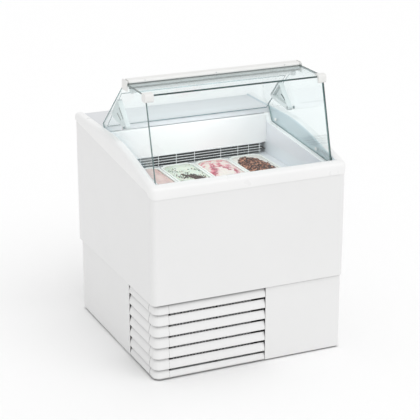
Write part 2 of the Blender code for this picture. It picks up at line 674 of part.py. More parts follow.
def make_controls():
    """Control panel on the rear plinth with a knob and two rockers, and the cable gland."""
    face = PLINTH_Y + GAP
    plate = face + 0.0030
    (x0, x1), (z0, z1) = CONTROL_X, CONTROL_Z
    panel = box("control_panel", (x0, face, z0), (x1, plate, z1), GREY_PLASTIC)
    join(panel, box("housing", (x0 + 0.007, 0.360, z0 + 0.007), (x1 - 0.007, face + 0.001, z1 - 0.007), GREY_PLASTIC))
    middle = (z0 + z1) / 2
    for name, x in SWITCHES.items():
        cut(panel, box("pocket", (x - 0.0075, plate - 0.016, middle - 0.0135), (x + 0.0075, 0.5, middle + 0.0135),
                       GREY_PLASTIC))
        half, deep = 0.0125, 0.0085
        outline = [(-half, 0.0), (-half, 0.0035), (0.0, 0.0015), (half, 0.0035), (half, 0.0)]
        outline += arc((0.0, 0.0), deep, 0, -180, 6)
        rocker = prism(name, [outline], "X", -0.0065, 0.0065, BLACK_PLASTIC)
        rocker.data.transform(Matrix.Rotation(math.radians(90), 4, "X"))
        rocker.data.transform(Matrix.Rotation(math.pi, 4, "Z"))
        rocker.data.transform(Matrix.Rotation(math.radians(ROCKER_TILT), 4, "X"))
        rocker.location = (x, plate - 0.0035, middle)
    knob = [(0.0, 0.0080), (0.011, 0.0080), (0.012, 0.0065), (0.014, 0.0004), (0.004, 0.0004), (0.004, -0.010),
            (0.0, -0.010)]
    cut(panel, cylinder("spindle", (KNOB_X, plate, middle), 0.0046, 0.026, "Y", GREY_PLASTIC, 20))
    spindle = turned("thermostat_knob", [(r, -h) for r, h in reversed(knob)], (0, 0, 0), "Y", BLACK_PLASTIC, 24)
    join(spindle, box("pointer", (-0.001, 0.0060, 0.002), (0.001, 0.0090, 0.011), BLACK_PLASTIC))
    spindle.location = (KNOB_X, plate, middle)

    ring = [(0.0080, 0.0118), (0.0105, 0.0105), (0.0140, 0.0050), (0.0140, 0.0003), (0.0080, 0.0003),
            (0.0080, -0.0080), (0.0050, -0.0080), (0.0050, 0.0118), (0.0080, 0.0118)]
    gland = turned("cable_gland", [(r, -h) for r, h in ring], (GLAND[0], PLINTH_Y, GLAND[1]), "Y", BLACK_PLASTIC, 24)
    return gland


# --------------------------------------------------------------------- pans
def make_pans():
    """Pan rack, four lift-out pans and their ice cream."""
    length, width = PAN_SIZE[1], PAN_SIZE[0]
    middle = PAN_REAR - length / 2
    centres = [PAN_PITCH * (k - 1.5) for k in range(4)]
    windows = [rectangle((x - 0.0745, middle - 0.173), (x + 0.0745, middle + 0.173)) for x in centres]
    rack_z = TANK_STEP + GAP
    prism("pan_rack", [rectangle((-TANK_X + 0.001, middle - 0.205), (TANK_X - 0.001, PAN_REAR + 0.0015))] + windows,
          "Z", rack_z, rack_z + SHEET, WIRE_WHITE)

    def outline(x, half_x, half_y, clip, z):
        points = [(half_x - clip, half_y), (half_x, half_y - clip), (half_x, clip - half_y), (half_x - clip, -half_y)]
        points += [(-a, b) for a, b in reversed(points)]
        return [(x + a, middle + b, z) for a, b in points]

    flavours = ("strawberry", "mint", "raspberry_ripple", "chocolate")
    rim_x, rim_y = width / 2, length / 2
    rim_low, floor = rack_z + SHEET + GAP, PAN_TOP - PAN_DEPTH
    for k, x in enumerate(centres):
        rings = [outline(x, 0.062, 0.160, 0.020, floor), outline(x, 0.0725, 0.1705, 0.026, rim_low),
                 outline(x, rim_x, rim_y, 0.030, rim_low), outline(x, rim_x, rim_y, 0.030, PAN_TOP),
                 outline(x, 0.0705, 0.1685, 0.025, PAN_TOP), outline(x, 0.060, 0.158, 0.019, floor + 0.002)]
        loft(f"pan_{k + 1}", rings, PAN_WHITE)
        fill_low, fill_high = floor + 0.0024, PAN_TOP - 0.004
        mound = [outline(x, 0.0595, 0.1575, 0.019, fill_low), outline(x, 0.0695, 0.1675, 0.025, fill_high),
                 outline(x, 0.062, 0.158, 0.030, PAN_TOP + 0.006), outline(x, 0.045, 0.135, 0.030, PAN_TOP + 0.012),
                 outline(x, 0.020, 0.080, 0.015, PAN_TOP + 0.015)]
        loft(f"ice_cream_{flavours[k]}", mound, FLAVOURS[k])


# ------------------------------------------------------------- glass canopy
def side_glass_outline():
    """(y, z) outline of a side glass, front foot first."""
    lean = (FRONT_HEAD_Y - FRONT_FOOT_Y) / (TOP_GLASS_Z - LEDGE_FRONT)
    back = FRONT_FOOT_Y + GLASS + 0.0008
    top = TOP_GLASS_Z - GAP
    foot = [(y, ledge_z(y) + 0.0005) for y in (back + 0.0005, GLASS_NOTCH_Y[0])]
    notch = (GLASS_NOTCH_Y[1], COUNTER_BOTTOM + 0.010)
    front_head = (back + lean * (top - LEDGE_FRONT), top)
    return foot + [notch, SIDE_REAR_FOOT, (SIDE_REAR_TOP_Y, top), front_head]


def make_canopy():
    """Four panes, their corner caps and the lamp under the rear top profile."""
    top = TOP_GLASS_Z - GAP
    foot = LEDGE_FRONT + 0.0005
    thick = GLASS + 0.0002
    prism("front_glass", [[(FRONT_FOOT_Y, foot), (FRONT_FOOT_Y + thick, foot), (FRONT_HEAD_Y + thick, top),
                           (FRONT_HEAD_Y, top)]], "X", -GLASS_X, GLASS_X, GLASS_CLEAR)
    box("top_glass", (-GLASS_X, FRONT_HEAD_Y, TOP_GLASS_Z), (GLASS_X, -0.060, TOP_GLASS_Z + GLASS), GLASS_CLEAR)
    for side, hand in ((-1, "left"), (1, "right")):
        near, far = sorted((side * (GLASS_X - GLASS), side * GLASS_X))
        holes = [arc(PIVOT, 0.0045, 0, 330, 11)]
        prism(f"side_glass_{hand}", [side_glass_outline()] + holes, "X", near, far, GLASS_CLEAR)

    envelope = [(FRONT_FOOT_Y - GAP, foot), (FRONT_HEAD_Y - GAP, TOP_GLASS_Z + GLASS + GAP),
                (-0.020, TOP_GLASS_Z + GLASS + GAP), (0.1, 1.05), (0.1, foot)]
    reach = GLASS_X + GAP
    for side, hand in ((-1, "left"), (1, "right")):
        def cap(name, low, high, radius):
            inner, outer = sorted((side * (GLASS_X - 0.030), side * (GLASS_X + 0.0075)))
            piece = prism(name, [rounded_rectangle(low, high, radius, 3)], "X", inner, outer, WHITE_PLASTIC)
            return cut(piece, prism("inside", [envelope[::-1]], "X", -reach, reach, WHITE_PLASTIC))
        cap(f"corner_cap_{hand}", (FRONT_HEAD_Y - 0.014, TOP_GLASS_Z - 0.024),
            (FRONT_HEAD_Y + 0.026, TOP_GLASS_Z + GLASS + 0.007), 0.010)

    (y0, y1), (z0, z1) = PROFILE_Y, PROFILE_Z
    outline = [(y0, z0 + 0.004), (y0 + 0.004, z0), (y1 - 0.002, z0), (y1, z0 + 0.002), (y1, z1 - 0.010),
               (y1 - 0.010, z1), (y0 + 0.006, z1), (y0, z1 - 0.008), (y0, TOP_GLASS_Z + GLASS + GAP),
               (-0.0595, TOP_GLASS_Z + GLASS + GAP), (-0.0595, TOP_GLASS_Z - GAP), (y0, TOP_GLASS_Z - GAP)]
    prism("lamp_profile", [outline], "X", -0.3920, 0.3920, WHITE_PLASTIC)
    for side, hand in ((-1, "left"), (1, "right")):
        inner, outer = sorted((side * (GLASS_X + GAP), side * (GLASS_X + 0.0035)))
        flank = [(y0 - 0.004, z0 - 0.016), (y1 + 0.004, z0 - 0.016), (y1 + 0.004, z1 - 0.008), (y1 - 0.006, z1),
                 (y0 + 0.004, z1), (y0 - 0.004, z1 - 0.008)]
        end_cap = prism(f"profile_cap_{hand}", [flank], "X", inner, outer, WHITE_PLASTIC)
        inner, outer = sorted((side * (GLASS_X - 0.0055), side * (GLASS_X + 0.001)))
        join(end_cap, box("over", (inner, y0 + 0.001, TOP_GLASS_Z + GLASS + 0.001), (outer, y1 - 0.004, z1 - 0.004),
                          WHITE_PLASTIC))
        holder = cylinder(f"lamp_holder_{hand}", (side * 0.3690, *LAMP), 0.0155, 0.016, "X", WHITE_PLASTIC, 24)
        cut(holder, cylinder("socket", (side * 0.3630, *LAMP), 0.0083, 0.010, "X", WHITE_PLASTIC, 16))
    cylinder("lamp_tube", (0.0, *LAMP), 0.008, 0.7300, "X", LAMP_GLASS, 20)


def make_flap():
    """Clear rear flap, the two arms that grip its edges, and the pins they swing on."""
    foot, head = Vector(FLAP_FOOT), Vector(FLAP_HEAD)
    along = (head - foot).normalized()
    outward = Vector((-along[1], along[0]))
    if outward[1] < 0:
        outward = -outward

    def place(s, p):
        """Flap coordinates: s up the pane from its foot, p outward from its middle."""
        return tuple(foot + along * s + outward * p)

    length = (head - foot).length
    half = FLAP_THICK / 2
    pane = [place(0, -half), place(0, half), place(length, half), place(length, -half)]
    prism("rear_flap", [pane], "X", -FLAP_X, FLAP_X, ACRYLIC)

    offset = Vector(PIVOT) - foot
    pin_s, pin_p = offset.dot(along), offset.dot(outward)
    low_s, high_s, rear_p, wall = 0.100, pin_s + 0.010, 0.006, 0.003
    tip = arc((pin_s, pin_p), 0.010, 0, -120, 5)
    outer = [(low_s, -0.010), (low_s, rear_p), (high_s, rear_p)] + tip
    for side, hand in ((-1, "left"), (1, "right")):
        def slab(name, points, near, far):
            ends = sorted((side * near, side * far))
            return prism(name, [[place(s, p) for s, p in points]], "X", *ends, WHITE_PLASTIC)
        arm = slab(f"flap_arm_{hand}", outer, 0.3670, 0.3875)
        pocket = [(low_s + 0.020, -0.010), (high_s - wall, -0.010), (high_s - wall, pin_p + 0.022),
                  (pin_s - 0.004, pin_p + 0.022)]
        cut(arm, slab("pocket", pocket, 0.3600, 0.3848),
            slab("grip", [(0.0, -half - GAP), (0.0, half + GAP), (length, half + GAP), (length, -half - GAP)],
                 0.3600, FLAP_X + GAP),
            slab("slot", [(high_s - 0.008, -0.030), (high_s - 0.005, -0.088), (high_s - 0.009, -0.088),
                          (high_s - 0.013, -0.030)], 0.3600, 0.4000),
            slab("slot", [(high_s - 0.044, -0.035), (high_s - 0.031, -0.074), (high_s - 0.035, -0.076),
                          (high_s - 0.049, -0.035)], 0.3600, 0.4000),
            cylinder("eye", (side * 0.385, *PIVOT), 0.0045, 0.050, "X", WHITE_PLASTIC, 20),
            cylinder("recess", (side * 0.3755, *PIVOT), 0.0085, 0.018, "X", WHITE_PLASTIC, 20))
        pin = cylinder(f"flap_pin_{hand}", (side * 0.3920, *PIVOT), 0.0040, 0.0180, "X", STEEL, 20)
        join(pin, cylinder("head", (side * 0.4005, *PIVOT), 0.0080, 0.0020, "X", STEEL, 20),
             cylinder("collar", (side * 0.3903, *PIVOT), 0.0070, 0.0045, "X", STEEL, 20),
             cylinder("retainer", (side * 0.3837, *PIVOT), 0.0070, 0.0010, "X", STEEL, 20))


make_chassis()
make_feet()
make_plinth()
make_louvres()
make_body()
make_rim()
make_counter()
make_evaporator()
make_condensing_unit()
make_controls()
make_pans()
make_canopy()
make_flap()
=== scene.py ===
import json
import math
import random

import bmesh
import bpy
from mathutils import Matrix, Vector, noise
from mathutils.bvhtree import BVHTree

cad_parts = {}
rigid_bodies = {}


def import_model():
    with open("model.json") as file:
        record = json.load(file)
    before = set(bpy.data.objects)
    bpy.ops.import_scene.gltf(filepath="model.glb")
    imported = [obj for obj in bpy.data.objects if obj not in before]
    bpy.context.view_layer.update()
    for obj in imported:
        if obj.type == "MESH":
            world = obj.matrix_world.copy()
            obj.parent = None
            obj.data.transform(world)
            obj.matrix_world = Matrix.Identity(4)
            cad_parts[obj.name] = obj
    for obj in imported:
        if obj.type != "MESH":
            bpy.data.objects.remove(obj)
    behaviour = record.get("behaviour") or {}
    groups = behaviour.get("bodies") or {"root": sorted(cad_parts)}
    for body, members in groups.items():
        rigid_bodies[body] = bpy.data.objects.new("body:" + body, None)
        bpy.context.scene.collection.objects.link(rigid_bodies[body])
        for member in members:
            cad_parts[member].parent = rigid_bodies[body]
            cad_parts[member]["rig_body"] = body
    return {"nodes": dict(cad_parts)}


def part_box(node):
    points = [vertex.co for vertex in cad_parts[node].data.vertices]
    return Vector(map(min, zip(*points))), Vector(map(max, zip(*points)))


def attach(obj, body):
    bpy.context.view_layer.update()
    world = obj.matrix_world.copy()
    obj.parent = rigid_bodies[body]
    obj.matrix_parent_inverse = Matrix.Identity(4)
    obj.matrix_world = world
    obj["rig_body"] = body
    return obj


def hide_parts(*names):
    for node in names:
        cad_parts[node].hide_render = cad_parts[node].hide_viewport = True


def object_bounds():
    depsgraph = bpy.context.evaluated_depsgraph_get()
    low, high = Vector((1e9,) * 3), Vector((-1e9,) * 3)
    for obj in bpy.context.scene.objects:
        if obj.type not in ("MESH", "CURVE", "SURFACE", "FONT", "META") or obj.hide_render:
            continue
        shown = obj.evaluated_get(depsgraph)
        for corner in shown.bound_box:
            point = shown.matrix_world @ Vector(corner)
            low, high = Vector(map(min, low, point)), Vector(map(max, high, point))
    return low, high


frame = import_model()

cad_low, cad_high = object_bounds()
nodes = frame["nodes"]
scene = bpy.context.scene
scene.view_settings.view_transform = "Standard"

# ---------------- sizes shared with the frame
RIM_X, RIM_Y = cad_high[0], cad_high[1]
RIM_CORNER, WALL_INSET = 0.025, (0.0372, 0.0444)
BODY_X, BODY_Y = 0.440, 0.4425
BODY_BOTTOM = 0.340
SEAM_REAR, SEAM_SLOPE, SEAM_BREAK_Y, SEAM_FRONT = 0.900, 0.0984, -0.400, 0.794
CROWN_REAR, CROWN_ARC_Y, CROWN_SLOPE = 0.935, (-0.220, 0.066), 0.25
COLLAR_BOTTOM = 0.7803
TANK_X, TANK_FRONT, TANK_REAR = 0.372, -0.370, 0.382
LEDGE_FRONT, LEDGE_SLOPE, GLASS_NOTCH_Y, COUNTER_BOTTOM = 0.828, 0.0776, (0.167, 0.191), 0.905
FRONT_FOOT_Y, FRONT_HEAD_Y, TOP_GLASS_Z = -0.3915, -0.2955, 1.1806
PIVOT = (-0.035, 0.984)
FLAP_FOOT, FLAP_HEAD = (0.1960, 0.9290), (0.016, 1.118)
LAMP, SOCKET_X = (-0.0760, 1.1542), 0.361
PLINTH_X, PLINTH_Y, PLINTH_TOP = 0.430, 0.4325, 0.3397
LOUVRE_X, LOUVRE_RIB_X, LOUVRE_SIDE_Y = 0.074, -0.147, -0.151
SLAT_PITCH, FIRST_SLAT, SECOND_SLAT = 0.0495, 0.0065, 0.0474
SEAM_WIDTH, SIDE_SEAM_WIDTH = 0.0007, 0.0022
CORNER_FRONT_X, CORNER_SIDE_Y, CORNER_RADIUS = -0.364, -0.370, 0.030
PAN_PITCH, PAN_LENGTH, PAN_REAR, PAN_TOP, PAN_DEPTH = 0.165, 0.360, 0.168, 0.729, 0.120
PAN_MIDDLE = PAN_REAR - PAN_LENGTH / 2
HEAP_PLACE, HEAP_REACH = (0.2300, -0.0750), (0.0700, 0.1980)
RIPPLE_PLACE, RIPPLE_REACH = (PAN_PITCH * 0.5 - 0.018, -0.044), (0.046, 0.080)
HANDS = (("left", -1), ("right", 1))


# ---------------- materials
class Surface:
    """A Principled material whose inputs are fed by procedural nodes."""

    def __init__(self, name, colour, roughness=0.5, metallic=0.0, **inputs):
        self.made = bpy.data.materials.new(name)
        self.made.use_nodes = True
        self.tree = self.made.node_tree
        self.shader = self.tree.nodes["Principled BSDF"]
        self.colour = (*colour, 1.0)
        self.shader.inputs["Base Color"].default_value = self.colour
        self.shader.inputs["Roughness"].default_value = roughness
        self.shader.inputs["Metallic"].default_value = metallic
        for key, value in inputs.items():
            self.shader.inputs[key.replace("_", " ")].default_value = value
        self.place = self.add("ShaderNodeTexCoord").outputs["Object"]

    def add(self, kind, **inputs):
        node = self.tree.nodes.new(kind)
        for key, value in inputs.items():
            node.inputs[key].default_value = value
        return node

    def link(self, a, b):
        self.tree.links.new(a, b)

    def noise(self, scale, detail=4.0, roughness=0.55, stretch=None, distortion=0.0):
        """Noise over the object's own coordinates."""
        node = self.add("ShaderNodeTexNoise", Scale=scale, Detail=detail, Roughness=roughness,
                        Distortion=distortion)
        place = self.place
        if stretch:
            mapping = self.add("ShaderNodeMapping", Scale=stretch)
            self.link(place, mapping.inputs["Vector"])
            place = mapping.outputs["Vector"]
        self.link(place, node.inputs["Vector"])
        return node.outputs["Fac"]

    def cells(self, scale):
        """Distance to the nearest cell centre, over the object's own coordinates."""
        node = self.add("ShaderNodeTexVoronoi", Scale=scale)
        self.link(self.place, node.inputs["Vector"])
        return node.outputs["Distance"]

    def ellipse(self, centre, reach):
        """Distance from a centre in plan, 1 on the ellipse with the given half axes."""
        node = self.add("ShaderNodeMapping", Location=(-centre[0] / reach[0], -centre[1] / reach[1], 0.0),
                        Scale=(1 / reach[0], 1 / reach[1], 0.0))
        self.link(self.place, node.inputs["Vector"])
        length = self.add("ShaderNodeVectorMath")
        length.operation = "LENGTH"
        self.link(node.outputs["Vector"], length.inputs[0])
        return length.outputs["Value"]

    def combine(self, operation, first, second):
        node = self.add("ShaderNodeMath")
        node.operation = operation
        self.link(first, node.inputs[0])
        self.link(second, node.inputs[1])
        return node.outputs["Value"]

    def ramp(self, value, *stops):
        """Colour ramp from (position, colour) stops."""
        node = self.add("ShaderNodeValToRGB")
        elements = node.color_ramp.elements
        for end in (0, -1):
            elements[end].position, elements[end].color = stops[end]
        for position, colour in stops[1:-1]:
            elements.new(position).color = colour
        self.link(value, node.inputs["Fac"])
        return node.outputs["Color"]

    def spread(self, value, low, high, start=0.0, end=1.0):
        """Map a value's range to low..high."""
        node = self.add("ShaderNodeMapRange")
        for key, number in (("From Min", start), ("From Max", end), ("To Min", low), ("To Max", high)):
            node.inputs[key].default_value = number
        self.link(value, node.inputs["Value"])
        return node.outputs["Result"]

    def mix(self, factor, first, second, blend="MIX"):
        node = self.add("ShaderNodeMix")
        node.data_type = "RGBA"
        node.blend_type = blend
        for key, value in (("Factor", factor), (6, first), (7, second)):
            socket = node.inputs[key]
            if isinstance(value, (int, float, tuple)):
                socket.default_value = value
            else:
                self.link(value, socket)
        return node.outputs[2]

    def paint(self, colour):
        self.link(colour, self.shader.inputs["Base Color"])
        return self

    def tint(self, value, amount):
        """Darken and lighten the base colour a little by a 0..1 value."""
        dark = tuple(c * (1 - amount) for c in self.colour[:3]) + (1.0,)
        light = tuple(min(1.0, c * (1 + amount)) for c in self.colour[:3]) + (1.0,)
        return self.paint(self.ramp(value, (0.3, dark), (0.7, light)))

    def rough(self, value, low, high):
        self.link(self.spread(value, low, high, 0.3, 0.7), self.shader.inputs["Roughness"])
        return self

    def recess_shade(self, reach, depth, curve):
        """Painted shade: darken the colour inside narrow gaps and under overhangs, by ambient occlusion."""
        open_share = self.add("ShaderNodeAmbientOcclusion", Distance=reach).outputs["AO"]
        share = self.spread(open_share, depth, 1.0, *curve)
        grey = self.add("ShaderNodeCombineColor")
        for channel in ("Red", "Green", "Blue"):
            self.link(share, grey.inputs[channel])
        base = self.shader.inputs["Base Color"]
        first = base.links[0].from_socket if base.is_linked else tuple(base.default_value)
        return self.paint(self.mix(1.0, first, grey.outputs["Color"], "MULTIPLY"))

    def bump(self, height, strength, distance):
        node = self.add("ShaderNodeBump", Strength=strength, Distance=distance)
        self.link(height, node.inputs["Height"])
        previous = self.shader.inputs["Normal"]
        if previous.is_linked:
            self.link(previous.links[0].from_socket, node.inputs["Normal"])
        self.link(node.outputs["Normal"], previous)
        return self


def powder_coat(name, colour, roughness=0.34, recess_shade=None):
    """Painted sheet metal: faint orange peel under a satin coat."""
    made = Surface(name, colour, roughness, Coat_Weight=0.25, Coat_Roughness=0.25)
    made.tint(made.noise(3.0, 3.0), 0.008)
    # Optional painted shade: the colour darkens in gaps and under overhangs.
    if recess_shade:
        made.recess_shade(*recess_shade)
    made.rough(made.noise(18.0), roughness - 0.05, roughness + 0.05)
    return made.bump(made.noise(260.0, 2.0), 0.04, 0.0003).made


def moulding(name, colour, roughness=0.42, grain=0.05, tint=0.008, recess_shade=None):
    """Moulded plastic: fine stipple and slightly uneven gloss."""
    made = Surface(name, colour, roughness)
    made.tint(made.noise(6.0, 3.0), tint)
    # Optional painted shade: the colour darkens in gaps and under overhangs.
    if recess_shade:
        made.recess_shade(*recess_shade)
    made.rough(made.noise(9.0, 2.0), roughness - 0.03, roughness + 0.03)
    return made.bump(made.noise(320.0, 2.0), grain, 0.0002).made


def metal(name, colour, roughness, stretch=(1.0, 1.0, 1.0)):
    """Bare metal with streaks along its rolling direction."""
    made = Surface(name, colour, roughness, 1.0)
    streaks = made.noise(60.0, 5.0, stretch=stretch)
    made.tint(streaks, 0.06)
    made.rough(streaks, roughness - 0.08, roughness + 0.10)
    return made.bump(streaks, 0.08, 0.0003).made


def galvanised(name, colour):
    """Zinc-coated steel with soft spangle."""
    made = Surface(name, colour, 0.42, 1.0)
    tone = made.spread(made.cells(70.0), 0.0, 1.0, 0.0, 0.9)
    made.tint(tone, 0.10)
    return made.rough(tone, 0.36, 0.52).made


def pane(name, tint, gloss=1.0):
    """Clear sheet: tinted straight-through light, with a mirror share by angle."""
    index = 1.45
    made = Surface(name, tint, 0.0)
    through = made.add("ShaderNodeBsdfTransparent", Color=(*tint, 1.0))
    mirror = made.add("ShaderNodeBsdfGlossy", Color=(0.95, 1.0, 1.0, 1.0), Roughness=0.0)
    share = made.add("ShaderNodeFresnel")
    inside = made.add("ShaderNodeNewGeometry").outputs["Backfacing"]
    made.link(made.spread(inside, index, 1 / index), share.inputs["IOR"])
    smear = made.spread(made.noise(5.0, 3.0), 0.92 * gloss, 1.0 * gloss, 0.35, 0.65)
    blend = made.add("ShaderNodeMixShader")
    made.link(made.combine("MULTIPLY", share.outputs["Fac"], smear), blend.inputs["Fac"])
    made.link(through.outputs["BSDF"], blend.inputs[1])
    made.link(mirror.outputs["BSDF"], blend.inputs[2])
    made.link(blend.outputs["Shader"], made.tree.nodes["Material Output"].inputs["Surface"])
    return made.made


WHITE_SHEET = powder_coat("white_sheet", (0.790, 0.790, 0.788))
# The plinth's colour is darkened under the body's hem: painted shade.
PLINTH_WHITE = powder_coat("plinth_white", (0.790, 0.790, 0.788), 0.40, (0.009, 0.30, (0.45, 0.95)))
WHITE_RIM = moulding("white_rim", (0.85, 0.85, 0.848), 0.30, 0.02)
# The rim's inner wall and collar are darker, bluer copies of the rim's white: painted shade.
RIM_WALL_SHADE = moulding("rim_wall_painted_shade", (0.60, 0.68, 0.72), 0.32, 0.02)
COLLAR_SHADE = moulding("rim_collar_painted_shade", (0.79, 0.81, 0.85), 0.32, 0.02)
# The louvres' colour is darkened between the slats: painted shade.
LOUVRE_WHITE = moulding("louvre_white", (0.82, 0.82, 0.818), 0.42, recess_shade=(0.016, 0.14, (0.45, 1.0)))
CAP_WHITE = moulding("cap_white", (0.80, 0.80, 0.785), 0.35)
# The lamp sockets' colour is darkened in their hollows: painted shade.
SOCKET_WHITE = moulding("socket_white", (0.60, 0.64, 0.645), 0.30, 0.03, recess_shade=(0.012, 0.25, (0.35, 0.85)))
COVER_WHITE = moulding("cover_white", (0.88, 0.88, 0.88), 0.30, 0.02)
COUNTER_GREY = moulding("counter_grey", (0.66, 0.67, 0.69), 0.36)
CONTROL_GREY = moulding("control_grey", (0.42, 0.43, 0.44), 0.42)
LINER = moulding("liner_white", (0.78, 0.82, 0.855), 0.30, 0.02)
BLACK = moulding("black_plastic", (0.030, 0.030, 0.031), 0.48, 0.25, 0.15)
# Dark colour of the glazing seal, which also paints shade under the lamp profile, and of the flap arms'
# painted shade strips.
SEAL_AND_SHADE = moulding("glazing_seal_and_shade", (0.035, 0.055, 0.058), 0.5, 0.10, 0.1)
# Grey of the strip that paints the shade under the body's hem.
HEM_SHADE = moulding("hem_shade_grey", (0.16, 0.16, 0.16), 0.6, 0.2, 0.1)
RUBBER = moulding("foot_rubber", (0.022, 0.022, 0.022), 0.65, 0.35, 0.2)
FOAM = moulding("foam", (0.78, 0.70, 0.45), 0.9, 0.6, 0.06)
WIRE_WHITE = moulding("coated_wire", (0.84, 0.86, 0.865), 0.32, 0.05)
PAN_WHITE = moulding("pan_white", (0.74, 0.76, 0.73), 0.34, 0.08)
# The rack is grey so that the gaps between the pans show darker: painted shade.
RACK_GREY = moulding("rack_grey", (0.68, 0.70, 0.72), 0.40, 0.05)
# The arms' grey, also used for the strip that paints shade on the lamp profile's face.
ARM_AND_SHADE_GREY = moulding("arm_grey_and_painted_shade", (0.60, 0.645, 0.645), 0.38, 0.04)
ALUMINIUM = metal("aluminium", (0.72, 0.73, 0.74), 0.36, (1.0, 1.0, 0.05))
STEEL = metal("pin_steel", (0.60, 0.61, 0.62), 0.34, (0.1, 1.0, 1.0))
# The coil's near-black colour is painted shade behind the return air grid.
FIN_SHADE = metal("fin_painted_shade", (0.050, 0.055, 0.060), 0.50)
ZINC = galvanised("galvanised_steel", (0.58, 0.60, 0.61))
COPPER = metal("copper", (0.74, 0.42, 0.28), 0.30)
POT = powder_coat("compressor_black", (0.018, 0.018, 0.019), 0.40)
GLASS_FACE = pane("pane_face", (0.982, 0.997, 0.998))
ACRYLIC_FACE = pane("acrylic_face", (0.975, 0.988, 0.990), 0.9)


def glass_edge(name, dark, light, roughness):
    """Polished edge of a pane: deep colour, with painted reflections as bright streaks along it."""
    made = Surface(name, dark, roughness, Coat_Weight=0.6, Coat_Roughness=0.05)
    streaks = made.noise(9.0, 3.0)
    made.paint(made.ramp(streaks, (0.35, (*dark, 1.0)), (0.68, (*light, 1.0))))
    return made.made


SIDE_EDGE = glass_edge("side_pane_edge", (0.10, 0.19, 0.19), (0.34, 0.46, 0.46), 0.15)
GLASS_EDGE = glass_edge("pane_edge", (0.008, 0.030, 0.030), (0.045, 0.100, 0.100), 0.12)
ACRYLIC_EDGE = glass_edge("acrylic_edge", (0.045, 0.105, 0.120), (0.16, 0.26, 0.28), 0.2)

def frosted(name, colour):
    """Frosted white glass, faintly uneven."""
    made = Surface(name, colour, 0.55)
    made.tint(made.noise(6.0, 2.0), 0.02)
    return made.rough(made.noise(30.0, 2.0), 0.40, 0.50).made


LAMP_GLASS = frosted("lamp_glass", (0.95, 0.965, 0.965))


# ---------------- shape building
def mesh_from(shape, name, sharp=35.0):
    """Store a bmesh, smooth except across edges sharper than the angle."""
    bmesh.ops.recalc_face_normals(shape, faces=shape.faces)
    limit = math.radians(sharp)
    for face in shape.faces:
        face.smooth = True
    for edge in shape.edges:
        edge.smooth = len(edge.link_faces) == 2 and edge.calc_face_angle(0.0) < limit
    mesh = bpy.data.meshes.new(name)
    shape.to_mesh(mesh)
    shape.free()
    return mesh


def add(name, shape, surfaces, stands_for=(), sharp=35.0, body="cabinet"):
    """A finished piece that rides on a body and stands for CAD nodes."""
    surfaces = surfaces if isinstance(surfaces, (list, tuple)) else [surfaces]
    mesh = mesh_from(shape, name, sharp)
    for surface in surfaces:
        mesh.materials.append(surface)
    made = bpy.data.objects.new(name, mesh)
    scene.collection.objects.link(made)
    even = made.modifiers.new("even_normals", "WEIGHTED_NORMAL")
    even.keep_sharp = True
    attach(made, body)
    if stands_for:
        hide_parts(*stands_for)
    return made


def rounded(shape, width, segments=2, angle=40.0):
    """Round a bmesh's sharp edges, with a bevel on a work object."""
    mesh = bpy.data.meshes.new("work")
    shape.to_mesh(mesh)
    shape.free()
    guide = bpy.data.objects.new("work", mesh)
    scene.collection.objects.link(guide)
    bevel = guide.modifiers.new("bevel", "BEVEL")
    bevel.width, bevel.segments = width, segments
    bevel.limit_method, bevel.angle_limit = "ANGLE", math.radians(angle)
    bevel.use_clamp_overlap, bevel.miter_outer = True, "MITER_ARC"
    bpy.context.view_layer.update()
    result = bpy.data.meshes.new_from_object(guide.evaluated_get(bpy.context.evaluated_depsgraph_get()))
    bpy.data.objects.remove(guide, do_unlink=True)
    done = bmesh.new()
    done.from_mesh(result)
    return done


def from_node(node):
    """A CAD node's shape, welded, with its flat faces whole."""
    shape = bmesh.new()
    shape.from_mesh(nodes[node].data)
    bmesh.ops.remove_doubles(shape, verts=shape.verts, dist=2e-5)
    bmesh.ops.dissolve_limit(shape, angle_limit=math.radians(0.5), verts=shape.verts, edges=shape.edges)
    return shape


def body_of(node):
    return nodes[node]["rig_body"]


def refine(node, surface, width=0.0012, segments=2, angle=40.0, sharp=35.0):
    """The CAD node itself, with rounded edges and a finished material."""
    shape = rounded(from_node(node), width, segments, angle)
    return add(node + "_shown", shape, surface, (node,), sharp, body_of(node))


def bridge(shape, first, second):
    """Quads between two equal rings of vertices."""
    for k in range(len(first)):
        after = (k + 1) % len(first)
        shape.faces.new((first[k], first[after], second[after], second[k]))


def skin(rings, closed=False):
    """Join equal rings of points, capped at both ends or closed on itself."""
    shape = bmesh.new()
    rows = [[shape.verts.new(point) for point in ring] for ring in rings]
    pairs = list(zip(rows, rows[1:])) + ([(rows[-1], rows[0])] if closed else [])
    for first, second in pairs:
        bridge(shape, first, second)
    if not closed:
        shape.faces.new(rows[0])
        shape.faces.new(rows[-1])
    bmesh.ops.remove_doubles(shape, verts=shape.verts, dist=1e-6)
    return shape


def block(low, high):
    """A box between two corners."""
    shape = bmesh.new()
    bmesh.ops.create_cube(shape, size=1.0)
    size = Vector(high) - Vector(low)
    bmesh.ops.scale(shape, vec=size, verts=shape.verts)
    bmesh.ops.translate(shape, vec=Vector(low) + size / 2, verts=shape.verts)
    return shape


def merged(*shapes):
    """Several bmeshes as one."""
    mesh = bpy.data.meshes.new("work")
    result = bmesh.new()
    for shape in shapes:
        shape.to_mesh(mesh)
        shape.free()
        result.from_mesh(mesh)
    return result


